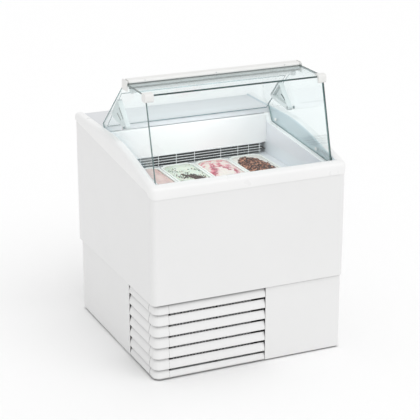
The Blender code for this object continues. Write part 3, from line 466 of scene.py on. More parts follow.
def turned(profile, centre, axis, steps=32):
    """Turn (radius, height) points about an axis through centre."""
    turn = {"X": Matrix(((0, 0, 1), (1, 0, 0), (0, 1, 0))), "Y": Matrix(((1, 0, 0), (0, 0, 1), (0, -1, 0))),
            "Z": Matrix.Identity(3)}[axis]
    shape = bmesh.new()
    rows = []
    for k in range(steps):
        across, up = math.cos(math.tau * k / steps), math.sin(math.tau * k / steps)
        ring = [turn @ Vector((r * across, r * up, h)) + Vector(centre) for r, h in profile]
        rows.append([shape.verts.new(point) for point in ring])
    for first, second in zip(rows, rows[1:] + rows[:1]):
        for k in range(len(profile) - 1):
            shape.faces.new((first[k], first[k + 1], second[k + 1], second[k]))
    bmesh.ops.remove_doubles(shape, verts=shape.verts, dist=1e-6)
    bmesh.ops.dissolve_degenerate(shape, edges=shape.edges, dist=1e-7)
    return shape


def tube_along(points, radius, sides):
    """A round tube along a smooth polyline, or a straight wire between two points."""
    points = [Vector(p) for p in points]
    rings = []
    across = None
    for k, point in enumerate(points):
        along = (points[min(k + 1, len(points) - 1)] - points[max(k - 1, 0)]).normalized()
        across = (along.orthogonal() if across is None else across - along * across.dot(along)).normalized()
        other = along.cross(across)
        turns = [math.tau * j / sides for j in range(sides)]
        rings.append([point + (across * math.cos(t) + other * math.sin(t)) * radius for t in turns])
    return skin(rings)


def smooth_curve(points, steps):
    """Catmull-Rom points through a route."""
    points = [Vector(p) for p in points]
    padded = [points[0] * 2 - points[1]] + points + [points[-1] * 2 - points[-2]]
    result = []
    for a, b, c, d in zip(padded, padded[1:], padded[2:], padded[3:]):
        for k in range(steps):
            t = k / steps
            result.append(0.5 * ((2 * b) + (c - a) * t + (2 * a - 5 * b + 4 * c - d) * t * t
                                 + (3 * b - a - 3 * c + d) * t ** 3))
    return result + [points[-1]]


def rounded_rectangle(low, high, radius, steps):
    """Points round a rectangle with arcs at its corners: rear right, rear left, then the front."""
    corners = ((high[0], high[1], 0), (low[0], high[1], 90), (low[0], low[1], 180), (high[0], low[1], 270))
    points = []
    for x, y, start in corners:
        centre = (x - math.copysign(radius, x - (low[0] + high[0]) / 2),
                  y - math.copysign(radius, y - (low[1] + high[1]) / 2))
        for k in range(steps + 1):
            angle = math.radians(start + 90 * k / steps)
            points.append((centre[0] + radius * math.cos(angle), centre[1] + radius * math.sin(angle)))
    return points


# ---------------- heights along the top rim
def seam_z(y):
    """Seam between the body panels and the rim, which falls towards the front."""
    if y >= SEAM_BREAK_Y:
        return SEAM_REAR - SEAM_SLOPE * (RIM_Y - y)
    start = SEAM_REAR - SEAM_SLOPE * (RIM_Y - SEAM_BREAK_Y)
    return start + (SEAM_FRONT - start) * (SEAM_BREAK_Y - y) / (SEAM_BREAK_Y + RIM_Y)


def crown_z(y):
    """Top of the rim: level at the rear, then an arc into a steady fall."""
    low, high = CROWN_ARC_Y
    if y >= high:
        return CROWN_REAR
    drop = CROWN_SLOPE / (2 * (high - low)) * (high - max(y, low)) ** 2
    if y < low:
        drop += CROWN_SLOPE * (low - y)
    return CROWN_REAR - drop


def ledge_z(y):
    """Ledge inside the rim that the side panes stand on, up to the rear counter."""
    start, end = GLASS_NOTCH_Y
    foot = LEDGE_FRONT + LEDGE_SLOPE * (min(max(y, TANK_FRONT), start) - TANK_FRONT)
    if y <= start:
        return foot
    return min(COUNTER_BOTTOM - 0.0003, foot + (COUNTER_BOTTOM - foot) * (y - start) / (end - start))


# ---------------- body and plinth
def make_body():
    """Painted shell with a rolled lower hem, tight rear corners and round front ones."""
    steps = 10
    rear_points = 2 * (steps + 1)

    def ring(inset, height):
        x, y = BODY_X - inset, BODY_Y - inset
        rear = rounded_rectangle((-x, -y), (x, y), max(0.004 - inset, 0.001), steps)[:rear_points]
        front = rounded_rectangle((-x, -y), (x, y), max(0.022 - inset, 0.004), steps)[rear_points:]
        outline = rear + [(-x, SEAM_BREAK_Y)] + front + [(x, SEAM_BREAK_Y)]
        return [(px, py, height(py)) for px, py in outline]

    flat = lambda z: lambda y: z
    top = lambda y: seam_z(y) - 0.0003
    hem = ((0.0300, 0.0015), (0.0300, 0.0), (0.0022, 0.0), (0.0008, 0.0006), (0.0002, 0.0018), (0.0, 0.0035))
    levels = [ring(inset, flat(BODY_BOTTOM + rise)) for inset, rise in hem]
    levels += [ring(0.0, flat(0.50)), ring(0.0, flat(0.70)), ring(0.0, top), ring(0.002, top),
               ring(0.002, flat(BODY_BOTTOM + 0.0015))]
    add("body_panels", skin(levels, closed=True), WHITE_SHEET, ("body_shell",), 50.0)


def make_plinth():
    for node in ("plinth_front", "plinth_left", "plinth_right", "plinth_rear"):
        refine(node, PLINTH_WHITE, 0.0009, 2)


def slat_section(base, reach, back):
    """(inset, height) outline of a louvre slat: a curved blade with a rolled lower lip."""
    outer = [(0.0030, 0.0006), (0.0014, 0.0), (0.0004, 0.0010), (0.0, 0.0030), (0.0001, 0.0050)]
    outer += [(back * k * k, reach * k) for k in (0.20, 0.35, 0.50, 0.62, 0.74, 0.86, 0.95, 1.0)]
    inner = [(inset + 0.0028, height) for inset, height in reversed(outer[3:])]
    top = PLINTH_TOP - 0.0003
    return [(inset, min(base + height, top)) for inset, height in outer + inner]


def make_hem_shade_strip():
    """Grey strip between the plinth's top edge and the body's hem, which paints the shade under the hem."""
    def ring(out, z):
        x, y = PLINTH_X + out, PLINTH_Y + out
        return [(px, py, z) for px, py in rounded_rectangle((-x, -y), (x, y), CORNER_RADIUS, 8)]

    high, low = BODY_BOTTOM - 0.0002, BODY_BOTTOM - 0.0032
    levels = [ring(-0.004, high), ring(0.0005, high), ring(0.0008, high - 0.0004),
              ring(0.0008, low + 0.0004), ring(0.0005, low), ring(-0.004, low)]
    add("hem_shade_strip", skin(levels, closed=True), HEM_SHADE, (), 40.0)


def rib(x, y, size, levels):
    """Upright rib behind the slats, from its low corner."""
    return rounded(block((x, y, levels[0]), (x + size[0], y + size[1], levels[1])), 0.0006)


def make_louvres():
    """Front, side and corner mouldings with thin seams between them."""
    front, side = -PLINTH_Y, -PLINTH_X
    slats = [(FIRST_SLAT, (0.0390, 0.0120), (0.0295, 0.0068))]
    slats += [(SECOND_SLAT + SLAT_PITCH * k, (0.0490, 0.0135), (0.0375, 0.0082)) for k in range(6)]
    fronts, sides, corners = [], [], []
    centre = (side + CORNER_RADIUS, front + CORNER_RADIUS)
    for base, whole, short in slats:
        section, blade = slat_section(base, *whole), slat_section(base, *short)
        stations = (CORNER_FRONT_X + SEAM_WIDTH, -0.25, -0.1, LOUVRE_X - 0.0006, LOUVRE_X)
        fronts.append(skin([[(x, front + inset, z) for inset, z in blade] for x in stations]))
        stations = (CORNER_SIDE_Y + SIDE_SEAM_WIDTH, -0.30, LOUVRE_SIDE_Y - 0.0006, LOUVRE_SIDE_Y)
        sides.append(skin([[(side + inset, y, z) for inset, z in section] for y in stations]))
        rings = [[(side + inset, CORNER_SIDE_Y, z) for inset, z in section]]
        for k in range(13):
            angle = math.radians(180 + 90 * k / 12)
            across, back = math.cos(angle), math.sin(angle)
            rings.append([(centre[0] + (CORNER_RADIUS - inset) * across,
                           centre[1] + (CORNER_RADIUS - inset) * back, z) for inset, z in section])
        rings.append([(CORNER_FRONT_X, front + inset, z) for inset, z in section])
        corners.append(skin(rings))
    levels = (0.0080, PLINTH_TOP - 0.002)
    ribs = [rib(x, front + 0.0085, (0.004, 0.0135), levels)
            for x in (CORNER_FRONT_X + 0.006, LOUVRE_RIB_X, LOUVRE_X - 0.008)]
    sides += [rib(side + 0.012, y, (0.012, 0.004), levels)
              for y in (CORNER_SIDE_Y + 0.006, LOUVRE_SIDE_Y - 0.008)]
    corners += [rib(side + 0.012, CORNER_SIDE_Y - 0.012, (0.008, 0.004), levels),
                rib(CORNER_FRONT_X - 0.012, front + 0.012, (0.004, 0.008), levels)]
    add("front_louvre", merged(*fronts), LOUVRE_WHITE, ("louvre_front",), 40.0)
    # The front ribs are black so that the open gaps between the front slats show dark: painted shade.
    add("front_louvre_shade_ribs", merged(*ribs), BLACK)
    add("side_louvre", merged(*sides), LOUVRE_WHITE, ("louvre_side",), 40.0)
    add("corner_louvre", merged(*corners), LOUVRE_WHITE, ("louvre_corner",), 40.0)


# ---------------- rim, counter
def rim_profile():
    """(side inset, front inset, height rule) points, from the outer seam over the crown and back."""
    side, front = RIM_X - TANK_X, RIM_Y + TANK_FRONT
    lip = RIM_Y + SEAM_BREAK_Y
    lower = lambda y: min(seam_z(y), ledge_z(y) - 0.004)
    collar = lambda y: COLLAR_BOTTOM if y < TANK_REAR else lower(y)
    above = lambda rise: lambda y: seam_z(y) + rise
    below = lambda drop: lambda y: crown_z(y) - drop
    ledge = lambda rise: lambda y: ledge_z(y) + rise
    return [(0.0030, 0.0030, seam_z), (0.0010, 0.0010, above(0.0008)), (0.0, 0.0, above(0.0030)),
            (0.0, 0.0, lambda y: 0.5 * (seam_z(y) + crown_z(y)) - 0.008),
            (0.0, 0.0, below(0.0200)), (0.0004, 0.0004, below(0.0150)), (0.0016, 0.0016, below(0.0105)),
            (0.0038, 0.0038, below(0.0067)), (0.0070, 0.0070, below(0.0036)), (0.0112, 0.0112, below(0.0016)),
            (0.0165, 0.0165, below(0.0004)), (0.0230, 0.0230, below(0.0)),
            (0.0290, 0.0300, below(0.0004)), (0.0340, 0.0360, below(0.0016)),
            (0.0380, 0.0420, below(0.0036)), (0.0408, 0.0465, below(0.0066)), (0.0424, 0.0492, below(0.0110)),
            (0.0430, 0.0500, ledge(0.0015)), (0.0436, 0.0506, ledge(0.0004)), (0.0448, 0.0518, ledge_z),
            (side - 0.0020, front - 0.0020, ledge_z), (side - 0.0006, front - 0.0006, ledge(-0.0006)),
            (side, front, ledge(-0.0020)), (side, front, collar),
            (side - 0.0035, front - 0.0035, collar), (side - 0.0035, front - 0.0035, lower),
            (0.0405, lip, lower), (0.0405, lip, seam_z)]


def rim_ring(y=-1.0, turn=0.0):
    """One section of the rim, at the left side's y or part-way round its front corner."""
    inner_slope, inner_roll, corner_dip = range(12, 18), range(13, 17), 0.002
    ring = []
    for k, (across, back, height) in enumerate(rim_profile()):
        radius = max(RIM_CORNER - across, 0.0)
        centre = (RIM_X - across - radius, back + radius - RIM_Y)
        angle = math.radians(turn)
        x, place = centre[0] + radius * math.cos(angle), centre[1] - radius * math.sin(angle)
        if turn == 0:
            place = max(y, centre[1])
        z = height(place)
        if k in inner_roll:
            z -= corner_dip * turn / 90
        if k in inner_slope:
            z = max(z, ledge_z(place) + 0.002)
        ring.append((-x, place, z))
    return ring


def make_rim():
    """Moulded rim: the left side and its front corner, joined across the front to their mirror."""
    low, high = CROWN_ARC_Y
    stations = [RIM_Y, RIM_Y - 0.002, 0.3835, 0.3815, 0.300, 0.240, 0.210]
    stations += [*reversed(GLASS_NOTCH_Y), 0.130, 0.095]
    stations += [high - (high - low) * k / 16 for k in range(17)]
    stations += [-0.245, -0.270, -0.300, -0.340, TANK_FRONT, -0.385, SEAM_BREAK_Y]
    half = [rim_ring(y) for y in stations] + [rim_ring(turn=90 * k / 12) for k in range(13)]
    other = [[(-x, y, z) for x, y, z in ring] for ring in reversed(half)]
    between = [[(a[0] + (b[0] - a[0]) * t, a[1], a[2]) for a, b in zip(half[-1], other[0])]
               for t in (0.25, 0.5, 0.75)]
    shape = skin(half + between + other)
    # Inner wall faces and collar faces take the painted shade copies of the rim's white.
    for face in shape.faces:
        inset = [RIM_X - abs(corner.co.x) for corner in face.verts]
        if min(inset) > WALL_INSET[0] and max(inset) < WALL_INSET[1]:
            face.material_index = 1
        elif max(abs(depth - (RIM_X - TANK_X)) for depth in inset) < 0.0002:
            face.material_index = 2
    add("rim_moulding", shape, (WHITE_RIM, RIM_WALL_SHADE, COLLAR_SHADE), ("rim_frame",), 45.0)


def make_counter():
    refine("rear_counter", COUNTER_GREY, 0.0022, 3)


# ---------------- tank and cooling
def make_tank():
    """Liner, rack and evaporator, with the wire grid that the air returns through."""
    refine("tank_liner", LINER, 0.0015, 2)
    refine("insulation", FOAM, 0.0008, 1)
    # The grey rack darkens the gaps between the pans: painted shade.
    refine("pan_rack", RACK_GREY, 0.0006, 1)
    refine("evaporator_cover", COVER_WHITE, 0.0040, 4, 60.0)
    # The coil and the fan plate behind the grid are dark so that its gaps show dark: painted shade.
    refine("evaporator_coil", FIN_SHADE, 0.0004, 1)
    refine("evaporator_fan_plate", BLACK, 0.0006, 1)
    level_wires, radius, margin = 12, 0.0013, 0.0015
    upright_wires = (-0.3465, -0.240, -0.155, -0.070, 0.018, 0.1455, 0.2305, 0.284, 0.3376)
    low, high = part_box("wire_grid")
    y = (low[1] + high[1]) / 2
    reach = high[2] - low[2] - 2 * margin
    levels = [low[2] + margin + reach * k / (level_wires - 1) for k in range(level_wires)]
    routes = [((low[0], y + 0.0001, z), (high[0], y + 0.0001, z)) for z in levels]
    routes += [((x, y - 0.0002, low[2]), (x, y - 0.0002, high[2])) for x in upright_wires]
    wires = [tube_along(route, radius, 8) for route in routes]
    add("return_air_grid", merged(*wires), WIRE_WHITE, ("wire_grid",), 60.0)
    for hand, _ in HANDS:
        make_fan(f"evaporator_fan_{hand}")


def make_fan(node):
    """A fan's hub and blades."""
    refine(node, BLACK, 0.0006, 1, 50.0)


def make_condensing_unit():
    """Chassis, condenser, fan and compressor, with the pipe between them and the drip tray."""
    refine("chassis", ZINC, 0.0006, 1)
    refine("condenser_coil", ALUMINIUM, 0.0004, 1)
    refine("condenser_shroud", ZINC, 0.0006, 1)
    make_fan("condenser_fan")
    pot = [(0.0, 0.215), (0.012, 0.2148), (0.030, 0.213), (0.045, 0.2080), (0.058, 0.200), (0.067, 0.189),
           (0.073, 0.172), (0.0752, 0.150), (0.0760, 0.128), (0.0775, 0.127), (0.0775, 0.123),
           (0.0760, 0.122), (0.076, 0.090), (0.0745, 0.072), (0.072, 0.060), (0.065, 0.046),
           (0.055, 0.038), (0.030, 0.035), (0.0, 0.034)]
    pieces = [turned(pot, (0.215, 0.190, 0.0), "Z", 48),
              rounded(block((0.120, 0.110, 0.0165), (0.310, 0.270, 0.020)), 0.0010),
              rounded(block((0.170, 0.150, 0.018), (0.260, 0.230, 0.050)), 0.0020),
              rounded(block((0.275, 0.165, 0.100), (0.305, 0.215, 0.150)), 0.0030, 3)]
    add("compressor_pot", merged(*pieces), POT, ("compressor",), 40.0)
    line = [(0.215, 0.110, 0.120), (0.215, 0.060, 0.120), (0.200, 0.030, 0.115), (0.150, 0.010, 0.100),
            (0.080, -0.060, 0.080), (0.055, -0.200, 0.070), (0.050, -0.330, 0.070), (0.047, -0.362, 0.068),
            (0.032, -0.364, 0.066)]
    pipe = tube_along(smooth_curve(line, 6), 0.0038, 12)
    add("discharge_pipe", pipe, COPPER, ("discharge_line",), 60.0)
    refine("drip_tray", BLACK, 0.0012, 2)


def make_feet():
    profile = [(0.0, 0.034), (0.0040, 0.034), (0.005, 0.033), (0.005, 0.011), (0.010, 0.0108),
               (0.017, 0.0095), (0.0195, 0.0075), (0.0205, 0.0045), (0.0210, 0.003), (0.0210, 0.0006),
               (0.0202, 0.0), (0.0, 0.0)]
    for node in ("foot_front_left", "foot_front_right", "foot_rear_left", "foot_rear_right"):
        low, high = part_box(node)
        centre = ((low[0] + high[0]) / 2, (low[1] + high[1]) / 2, 0.0)
        add(node + "_shown", turned(profile, centre, "Z", 32), RUBBER, (node,))


# ---------------- pans and ice cream
SERVED = {}  # pan number: its served surface, for what lies on it


def pan_x(number):
    """Middle of a pan across the cabinet; number 0 is at the left."""
    return PAN_PITCH * (number - 1.5)


def clipped(x, half_x, half_y, clip, z, soft):
    """Clipped-corner outline of a pan, its corners softened."""
    corners = [(half_x - clip, half_y), (half_x, half_y - clip), (half_x, clip - half_y),
               (half_x - clip, -half_y)]
    corners += [(-a, b) for a, b in reversed(corners)]
    points = []
    for k, corner in enumerate(corners):
        here, before = Vector(corner), Vector(corners[k - 1])
        after = Vector(corners[(k + 1) % len(corners)])
        reach = min(soft, (before - here).length / 2.2, (after - here).length / 2.2)
        start = here + (before - here).normalized() * reach
        end = here + (after - here).normalized() * reach
        for step in range(5):
            t = step / 4
            p = start * (1 - t) ** 2 + here * 2 * t * (1 - t) + end * t * t
            points.append((x + p[0], PAN_MIDDLE + p[1], z))
    return points


def make_pan(number):
    """A pan from its outside base up, over the rolled lip and down to its floor."""
    node = f"pan_{number + 1}"
    base, floor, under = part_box(node)[0][2], PAN_TOP - PAN_DEPTH, 0.7243
    levels = [(0.0600, 0.1580, 0.020, base), (0.0620, 0.1600, 0.021, base + 0.002),
              (0.0680, 0.1660, 0.024, base + 0.060), (0.0722, 0.1702, 0.026, under - 0.001),
              (0.0735, 0.1715, 0.026, under), (0.0795, 0.1782, 0.029, under),
              (0.0810, 0.1796, 0.030, under + 0.0006), (0.08125, 0.1800, 0.030, under + 0.0022),
              (0.0808, 0.1795, 0.030, PAN_TOP - 0.0006), (0.0798, 0.1785, 0.0295, PAN_TOP),
              (0.0738, 0.1720, 0.0270, PAN_TOP), (0.0716, 0.1698, 0.0260, PAN_TOP - 0.0008),
              (0.0706, 0.1688, 0.0255, PAN_TOP - 0.0030), (0.0675, 0.1655, 0.0235, PAN_TOP - 0.050),
              (0.0605, 0.1585, 0.019, floor + 0.004), (0.0580, 0.1560, 0.018, floor + 0.002)]
    shape = skin([clipped(pan_x(number), a, b, c, z, 0.006) for a, b, c, z in levels])
    add(node + "_shown", shape, PAN_WHITE, (node,), 60.0, node)


def fractal(x, y, scale, octaves, seed):
    """Fractal noise over the plan, about -1 to 1."""
    shift = Vector((seed, seed * 1.7, seed * 0.3))
    return noise.fractal(Vector((x, y, 0.0)) * scale + shift, 1.0, 2.0, octaves)


def relief(flavour, x, y):
    """Height of the served surface, in metres, above a smooth mound."""
    if flavour == "strawberry":
        wave = math.sin((y * 52.0) + 2.2 * fractal(x, y, 9.0, 3, 3.0))
        return 0.0012 * wave + 0.0020 * fractal(x, y, 26.0, 4, 1.0) + 0.0004 * fractal(x, y, 190.0, 3, 2.0)
    if flavour == "mint":
        return 0.0026 * fractal(x, y, 22.0, 4, 7.0) + 0.0007 * fractal(x, y, 120.0, 4, 9.0)
    if flavour == "raspberry_ripple":
        return 0.0042 * (0.5 - abs(fractal(x, y, 20.0, 3, 12.0))) + 0.0007 * fractal(x, y, 110.0, 4, 14.0)
    heap = max(0.0, min(1.0, (1.05 - heaped(x, y)) * 5.0))
    lump = fractal(x, y, 46.0, 5, 21.0)
    return heap * (0.0044 * abs(lump) + 0.0022 * fractal(x, y, 150.0, 4, 23.0)) - 0.0016


def heaped(x, y):
    """Distance from the middle of the chocolate heap, 1 at its edge."""
    return math.hypot((x - HEAP_PLACE[0]) / HEAP_REACH[0], (y - HEAP_PLACE[1]) / HEAP_REACH[1])


def make_ice_cream(number, flavour, surface):
    """A mound that fills the pan, with the relief of its flavour."""
    x0 = pan_x(number)
    half_x, half_y, clip, steps, dome = 0.0692, 0.1672, 0.025, 30, 0.0118
    floor, edge, limit = PAN_TOP - PAN_DEPTH + 0.0024, PAN_TOP - 0.0045, PAN_TOP + 0.0148
    outline = clipped(x0, half_x, half_y, clip, 0.0, 0.010)
    dense = []
    for a, b in zip(outline, outline[1:] + outline[:1]):
        a, b = Vector(a), Vector(b)
        count = max(1, int((b - a).length / 0.0028))
        dense += [a.lerp(b, k / count) for k in range(count)]
    flank = half_y - half_x
    spine = lambda p: Vector((x0, PAN_MIDDLE + max(-flank, min(flank, p[1] - PAN_MIDDLE)), 0.0))
    taper_x, taper_y = 0.0595 / half_x * 0.98, 0.1575 / half_y * 0.99
    rings = [[(x0 + (p[0] - x0) * taper_x, PAN_MIDDLE + (p[1] - PAN_MIDDLE) * taper_y, floor) for p in dense],
             [(p[0], p[1], edge - 0.004) for p in dense]]
    for k in range(steps + 1):
        t = k / steps
        swell, fade = dome * (1 - (1 - min(1.0, t * 1.25)) ** 2.3), min(1.0, t * 7.0)
        places = [p.lerp(spine(p), t) for p in dense]
        rings.append([(x, y, min(edge + swell + relief(flavour, x, y) * fade, limit)) for x, y, _ in places])
    shape = skin(rings)
    SERVED[number] = BVHTree.FromBMesh(shape)
    add(f"{flavour}_ice_cream", shape, surface(), (f"ice_cream_{flavour}",), 80.0, f"pan_{number + 1}")


def strawberry():
    """Dusty pink with dark red seeds."""
    made = Surface("strawberry", (0.56, 0.40, 0.37), 0.45, Subsurface_Weight=0.15, Subsurface_Scale=0.004)
    tone = made.ramp(made.noise(16.0, 5.0, 0.6, (1.0, 0.35, 1.0), 0.6), (0.30, (0.50, 0.34, 0.31, 1)),
                     (0.50, (0.57, 0.41, 0.38, 1)), (0.72, (0.63, 0.50, 0.47, 1)))
    seeds = made.ramp(made.cells(170.0), (0.05, (0.62, 0.28, 0.26, 1)), (0.12, (1, 1, 1, 1)))
    made.paint(made.mix(0.5, tone, seeds, "MULTIPLY"))
    return made.bump(made.noise(240.0, 4.0), 0.35, 0.0012).made


def mint():
    """Pale green."""
    made = Surface("mint", (0.72, 0.85, 0.69), 0.45, Subsurface_Weight=0.15, Subsurface_Scale=0.004)
    tone = made.noise(14.0, 5.0)
    made.paint(made.ramp(tone, (0.30, (0.52, 0.60, 0.49, 1)), (0.70, (0.64, 0.675, 0.60, 1))))
    return made.bump(made.noise(240.0, 4.0), 0.35, 0.0012).made


def ripple():
    """Cream with raspberry folded round a plain middle."""
    made = Surface("raspberry_ripple", (0.85, 0.62, 0.60), 0.40, Subsurface_Weight=0.12,
                   Subsurface_Scale=0.004)
    wander = made.spread(made.noise(24.0, 4.0, 0.62, (1.0, 0.75, 1.0), 0.8), -0.75, 0.75, 0.25, 0.75)
    folds = made.combine("ADD", made.ellipse(RIPPLE_PLACE, RIPPLE_REACH), wander)
    share = made.spread(folds, 0.0, 1.0, 0.0, 3.2)
    cream, pink = (0.68, 0.62, 0.57, 1), (0.66, 0.38, 0.39, 1)
    red, deep = (0.52, 0.10, 0.15, 1), (0.26, 0.020, 0.050, 1)
    made.paint(made.ramp(share, (0.20, cream), (0.250, pink), (0.285, deep), (0.350, red), (0.41, pink),
                         (0.47, cream), (0.56, cream), (0.60, pink), (0.635, red), (0.67, pink),
                         (0.74, cream), (0.84, pink)))
    made.rough(share, 0.34, 0.50)
    return made.bump(made.noise(210.0, 4.0), 0.35, 0.0012).made


def chocolate():
    """Chocolate crumble heaped on pale cream that shows towards the pan's edge."""
    made = Surface("chocolate", (0.24, 0.09, 0.05), 0.50, Specular_IOR_Level=0.30)
    lumps_and_shade = made.noise(60.0, 5.0, 0.66, (0.7, 1.0, 1.0), 0.6)
    # The brown is darkest in the bump's hollows and lightest on its tops: painted shade and highlight over
    # the crumble's own browns.
    brown = made.ramp(lumps_and_shade, (0.43, (0.020, 0.006, 0.004, 1)), (0.49, (0.085, 0.026, 0.014, 1)),
                      (0.545, (0.26, 0.095, 0.052, 1)), (0.62, (0.50, 0.25, 0.155, 1)))
    wander = made.spread(made.noise(60.0, 4.0, 0.7), -0.10, 0.10, 0.3, 0.7)
    reach = made.combine("ADD", made.ellipse(HEAP_PLACE, HEAP_REACH), wander)
    margin = made.spread(reach, 0.0, 1.0, 0.96, 1.01)
    made.paint(made.mix(margin, brown, (0.70, 0.675, 0.63, 1)))
    made.rough(lumps_and_shade, 0.42, 0.70)
    return made.bump(lumps_and_shade, 0.9, 0.003).made


def chip():
    """Dark chocolate chip."""
    made = Surface("chocolate_chip", (0.050, 0.022, 0.014), 0.40)
    made.tint(made.noise(300.0), 0.35)
    return made.bump(made.noise(500.0), 0.4, 0.0008).made


def crumb():
    """Chocolate crumb, each with its own share of dark and light."""
    made = Surface("chocolate_crumb", (0.24, 0.09, 0.05), 0.45, Specular_IOR_Level=0.35)
    tone = made.noise(68.0, 2.0)
    made.paint(made.ramp(tone, (0.45, (0.020, 0.006, 0.004, 1)), (0.50, (0.085, 0.026, 0.014, 1)),
                         (0.55, (0.28, 0.105, 0.060, 1)), (0.61, (0.54, 0.28, 0.18, 1))))
    return made.bump(made.noise(600.0), 0.5, 0.0010).made


def scatter(count, seed, inside):
    """Repeatable (x, y, turn, size) places over a pan, from the pan's middle."""
    chance = random.Random(seed)
    places = []
    for _ in range(count * 60):
        spot = (chance.uniform(-0.067, 0.067), chance.uniform(-0.165, 0.165))
        if inside(*spot) > chance.random():
            places.append((*spot, chance.uniform(0.0, math.tau), chance.uniform(0.5, 1.5)))
        if len(places) == count:
            break
    return places


def flakes(name, number, places, length, width, thick, surface, lift=0.0006):
    """Thin broken pieces lying on the served surface."""
    shape = bmesh.new()
    for x, y, turn, size in places:
        place = Vector((pan_x(number) + x, PAN_MIDDLE + y, 0.0))
        hit = SERVED[number].ray_cast(place + Vector((0.0, 0.0, 1.2)), Vector((0.0, 0.0, -1.0)))[0]
        if hit is None:
            continue
        z = min(hit[2], PAN_TOP + 0.0142)
        tilt = Matrix.Rotation((size - 1.0) * 0.9, 4, "X") @ Matrix.Rotation((turn - 3.1) * 0.10, 4, "Y")
        move = Matrix.Translation((place[0], place[1], z + lift)) @ Matrix.Rotation(turn, 4, "Z") @ tilt
        a, b, c = length * size, width * (1.4 - size * 0.5), thick
        corners = [(-a, -b * 0.7, 0), (a * 0.6, -b, 0), (a, b * 0.4, 0), (a * 0.1, b, 0),
                   (-a * 0.8, b * 0.6, 0)]
        low = [shape.verts.new(move @ Vector(p)) for p in corners]
        high = [shape.verts.new(move @ Vector((p[0] * 0.8, p[1] * 0.8, c))) for p in corners]
        shape.faces.new(low[::-1])
        shape.faces.new(high)
        bridge(shape, low, high)
    add(name, shape, surface, (), 20.0, f"pan_{number + 1}")


def drift(x, y):
    """Share of chips along a drift that runs towards the front of the pan."""
    start, end = Vector((-0.036, 0.010)), Vector((0.032, -0.112))
    run = end - start
    t = (Vector((x, y)) - start).dot(run) / run.length_squared
    if t < -0.03 or t > 1.1:
        return 0.0
    away = (Vector((x, y)) - start - run * t).length
    if away < 0.0040 + 0.0150 * min(1.0, max(0.0, t) * 1.6):
        return 1.0
    return 0.08 if away < 0.030 else 0.0


def speckle(x, y):
    """Share of loose chips: in patches, fewer near the ends of the pan."""
    patch = max(0.0, noise.noise(Vector((x * 26, y * 26, 1.0))) + 0.05)
    return (0.04 + 0.60 * patch) * (1.0 if -0.125 < y < 0.10 else 0.1)


def crumbled(x, y):
    """Share of crumbs over the chocolate heap."""
    return 0.9 if heaped(pan_x(3) + x, PAN_MIDDLE + y) < 0.96 else 0.0


def make_pans():
    """Four pans with their ice creams, chips on the mint and crumbs on the chocolate."""
    flavours = (("strawberry", strawberry), ("mint", mint), ("raspberry_ripple", ripple),
                ("chocolate", chocolate))
    for number, (flavour, surface) in enumerate(flavours):
        make_pan(number)
        make_ice_cream(number, flavour, surface)
    dark = chip()
    flakes("mint_chips", 1, scatter(130, 3, speckle), 0.0028, 0.0020, 0.0010, dark)
    flakes("mint_chip_drift", 1, scatter(620, 8, drift), 0.0034, 0.0020, 0.0014, dark, 0.0008)
    flakes("chocolate_crumbs", 3, scatter(260, 15, crumbled), 0.0066, 0.0038, 0.0032, crumb(), -0.0004)


# ---------------- glass canopy
def make_pane(node, normal, face, edge, width=0.0007):
    """A pane whose broad faces are clear and whose ground edge is coloured."""
    shape = rounded(from_node(node), width, 2, 50.0)
    shape.normal_update()
    normal = Vector(normal).normalized()
    for item in shape.faces:
        item.material_index = 0 if abs(item.normal.dot(normal)) > 0.995 else 1
    return add(node + "_pane", shape, (face, edge), (node,), 30.0, body_of(node))


def make_canopy():
    """Front, top and side panes with their caps, and the lamp under the top pane."""
    lean = Vector((0.0, -(TOP_GLASS_Z - LEDGE_FRONT), FRONT_HEAD_Y - FRONT_FOOT_Y))
    make_pane("front_glass", lean, GLASS_FACE, GLASS_EDGE)
    make_pane("top_glass", (0, 0, 1), GLASS_FACE, GLASS_EDGE)
    for hand, _ in HANDS:
        make_pane(f"side_glass_{hand}", (1, 0, 0), GLASS_FACE, SIDE_EDGE)
    socket = [(0.0, 0.0160), (0.0135, 0.0160), (0.0152, 0.0150), (0.0155, 0.0135), (0.0155, 0.0050),
              (0.0148, 0.0022), (0.0128, 0.0006), (0.0106, 0.0), (0.0096, 0.0006), (0.0090, 0.0030),
              (0.0084, 0.0040), (0.0084, 0.0068), (0.0, 0.0068)]
    for hand, side in HANDS:
        refine(f"corner_cap_{hand}", CAP_WHITE, 0.0022, 4)
        refine(f"profile_cap_{hand}", CAP_WHITE, 0.0018, 3)
        shape = turned([(r, side * h) for r, h in socket], (side * SOCKET_X, *LAMP), "X", 36)
        add(f"lamp_socket_{hand}", shape, SOCKET_WHITE, (f"lamp_holder_{hand}",), 40.0)
    refine("lamp_profile", CAP_WHITE, 0.0015, 3)
    ends = [(0.0, 0.3650), (0.0062, 0.3650), (0.0078, 0.3640), (0.0080, 0.3620)]
    tube = ends + [(0.0080, 0.20), (0.0080, -0.20)] + [(r, -h) for r, h in reversed(ends)]
    shape = turned(tube, (0.0, *LAMP), "X", 28)
    add("lamp_glass_tube", shape, LAMP_GLASS, ("lamp_tube",), 40.0)


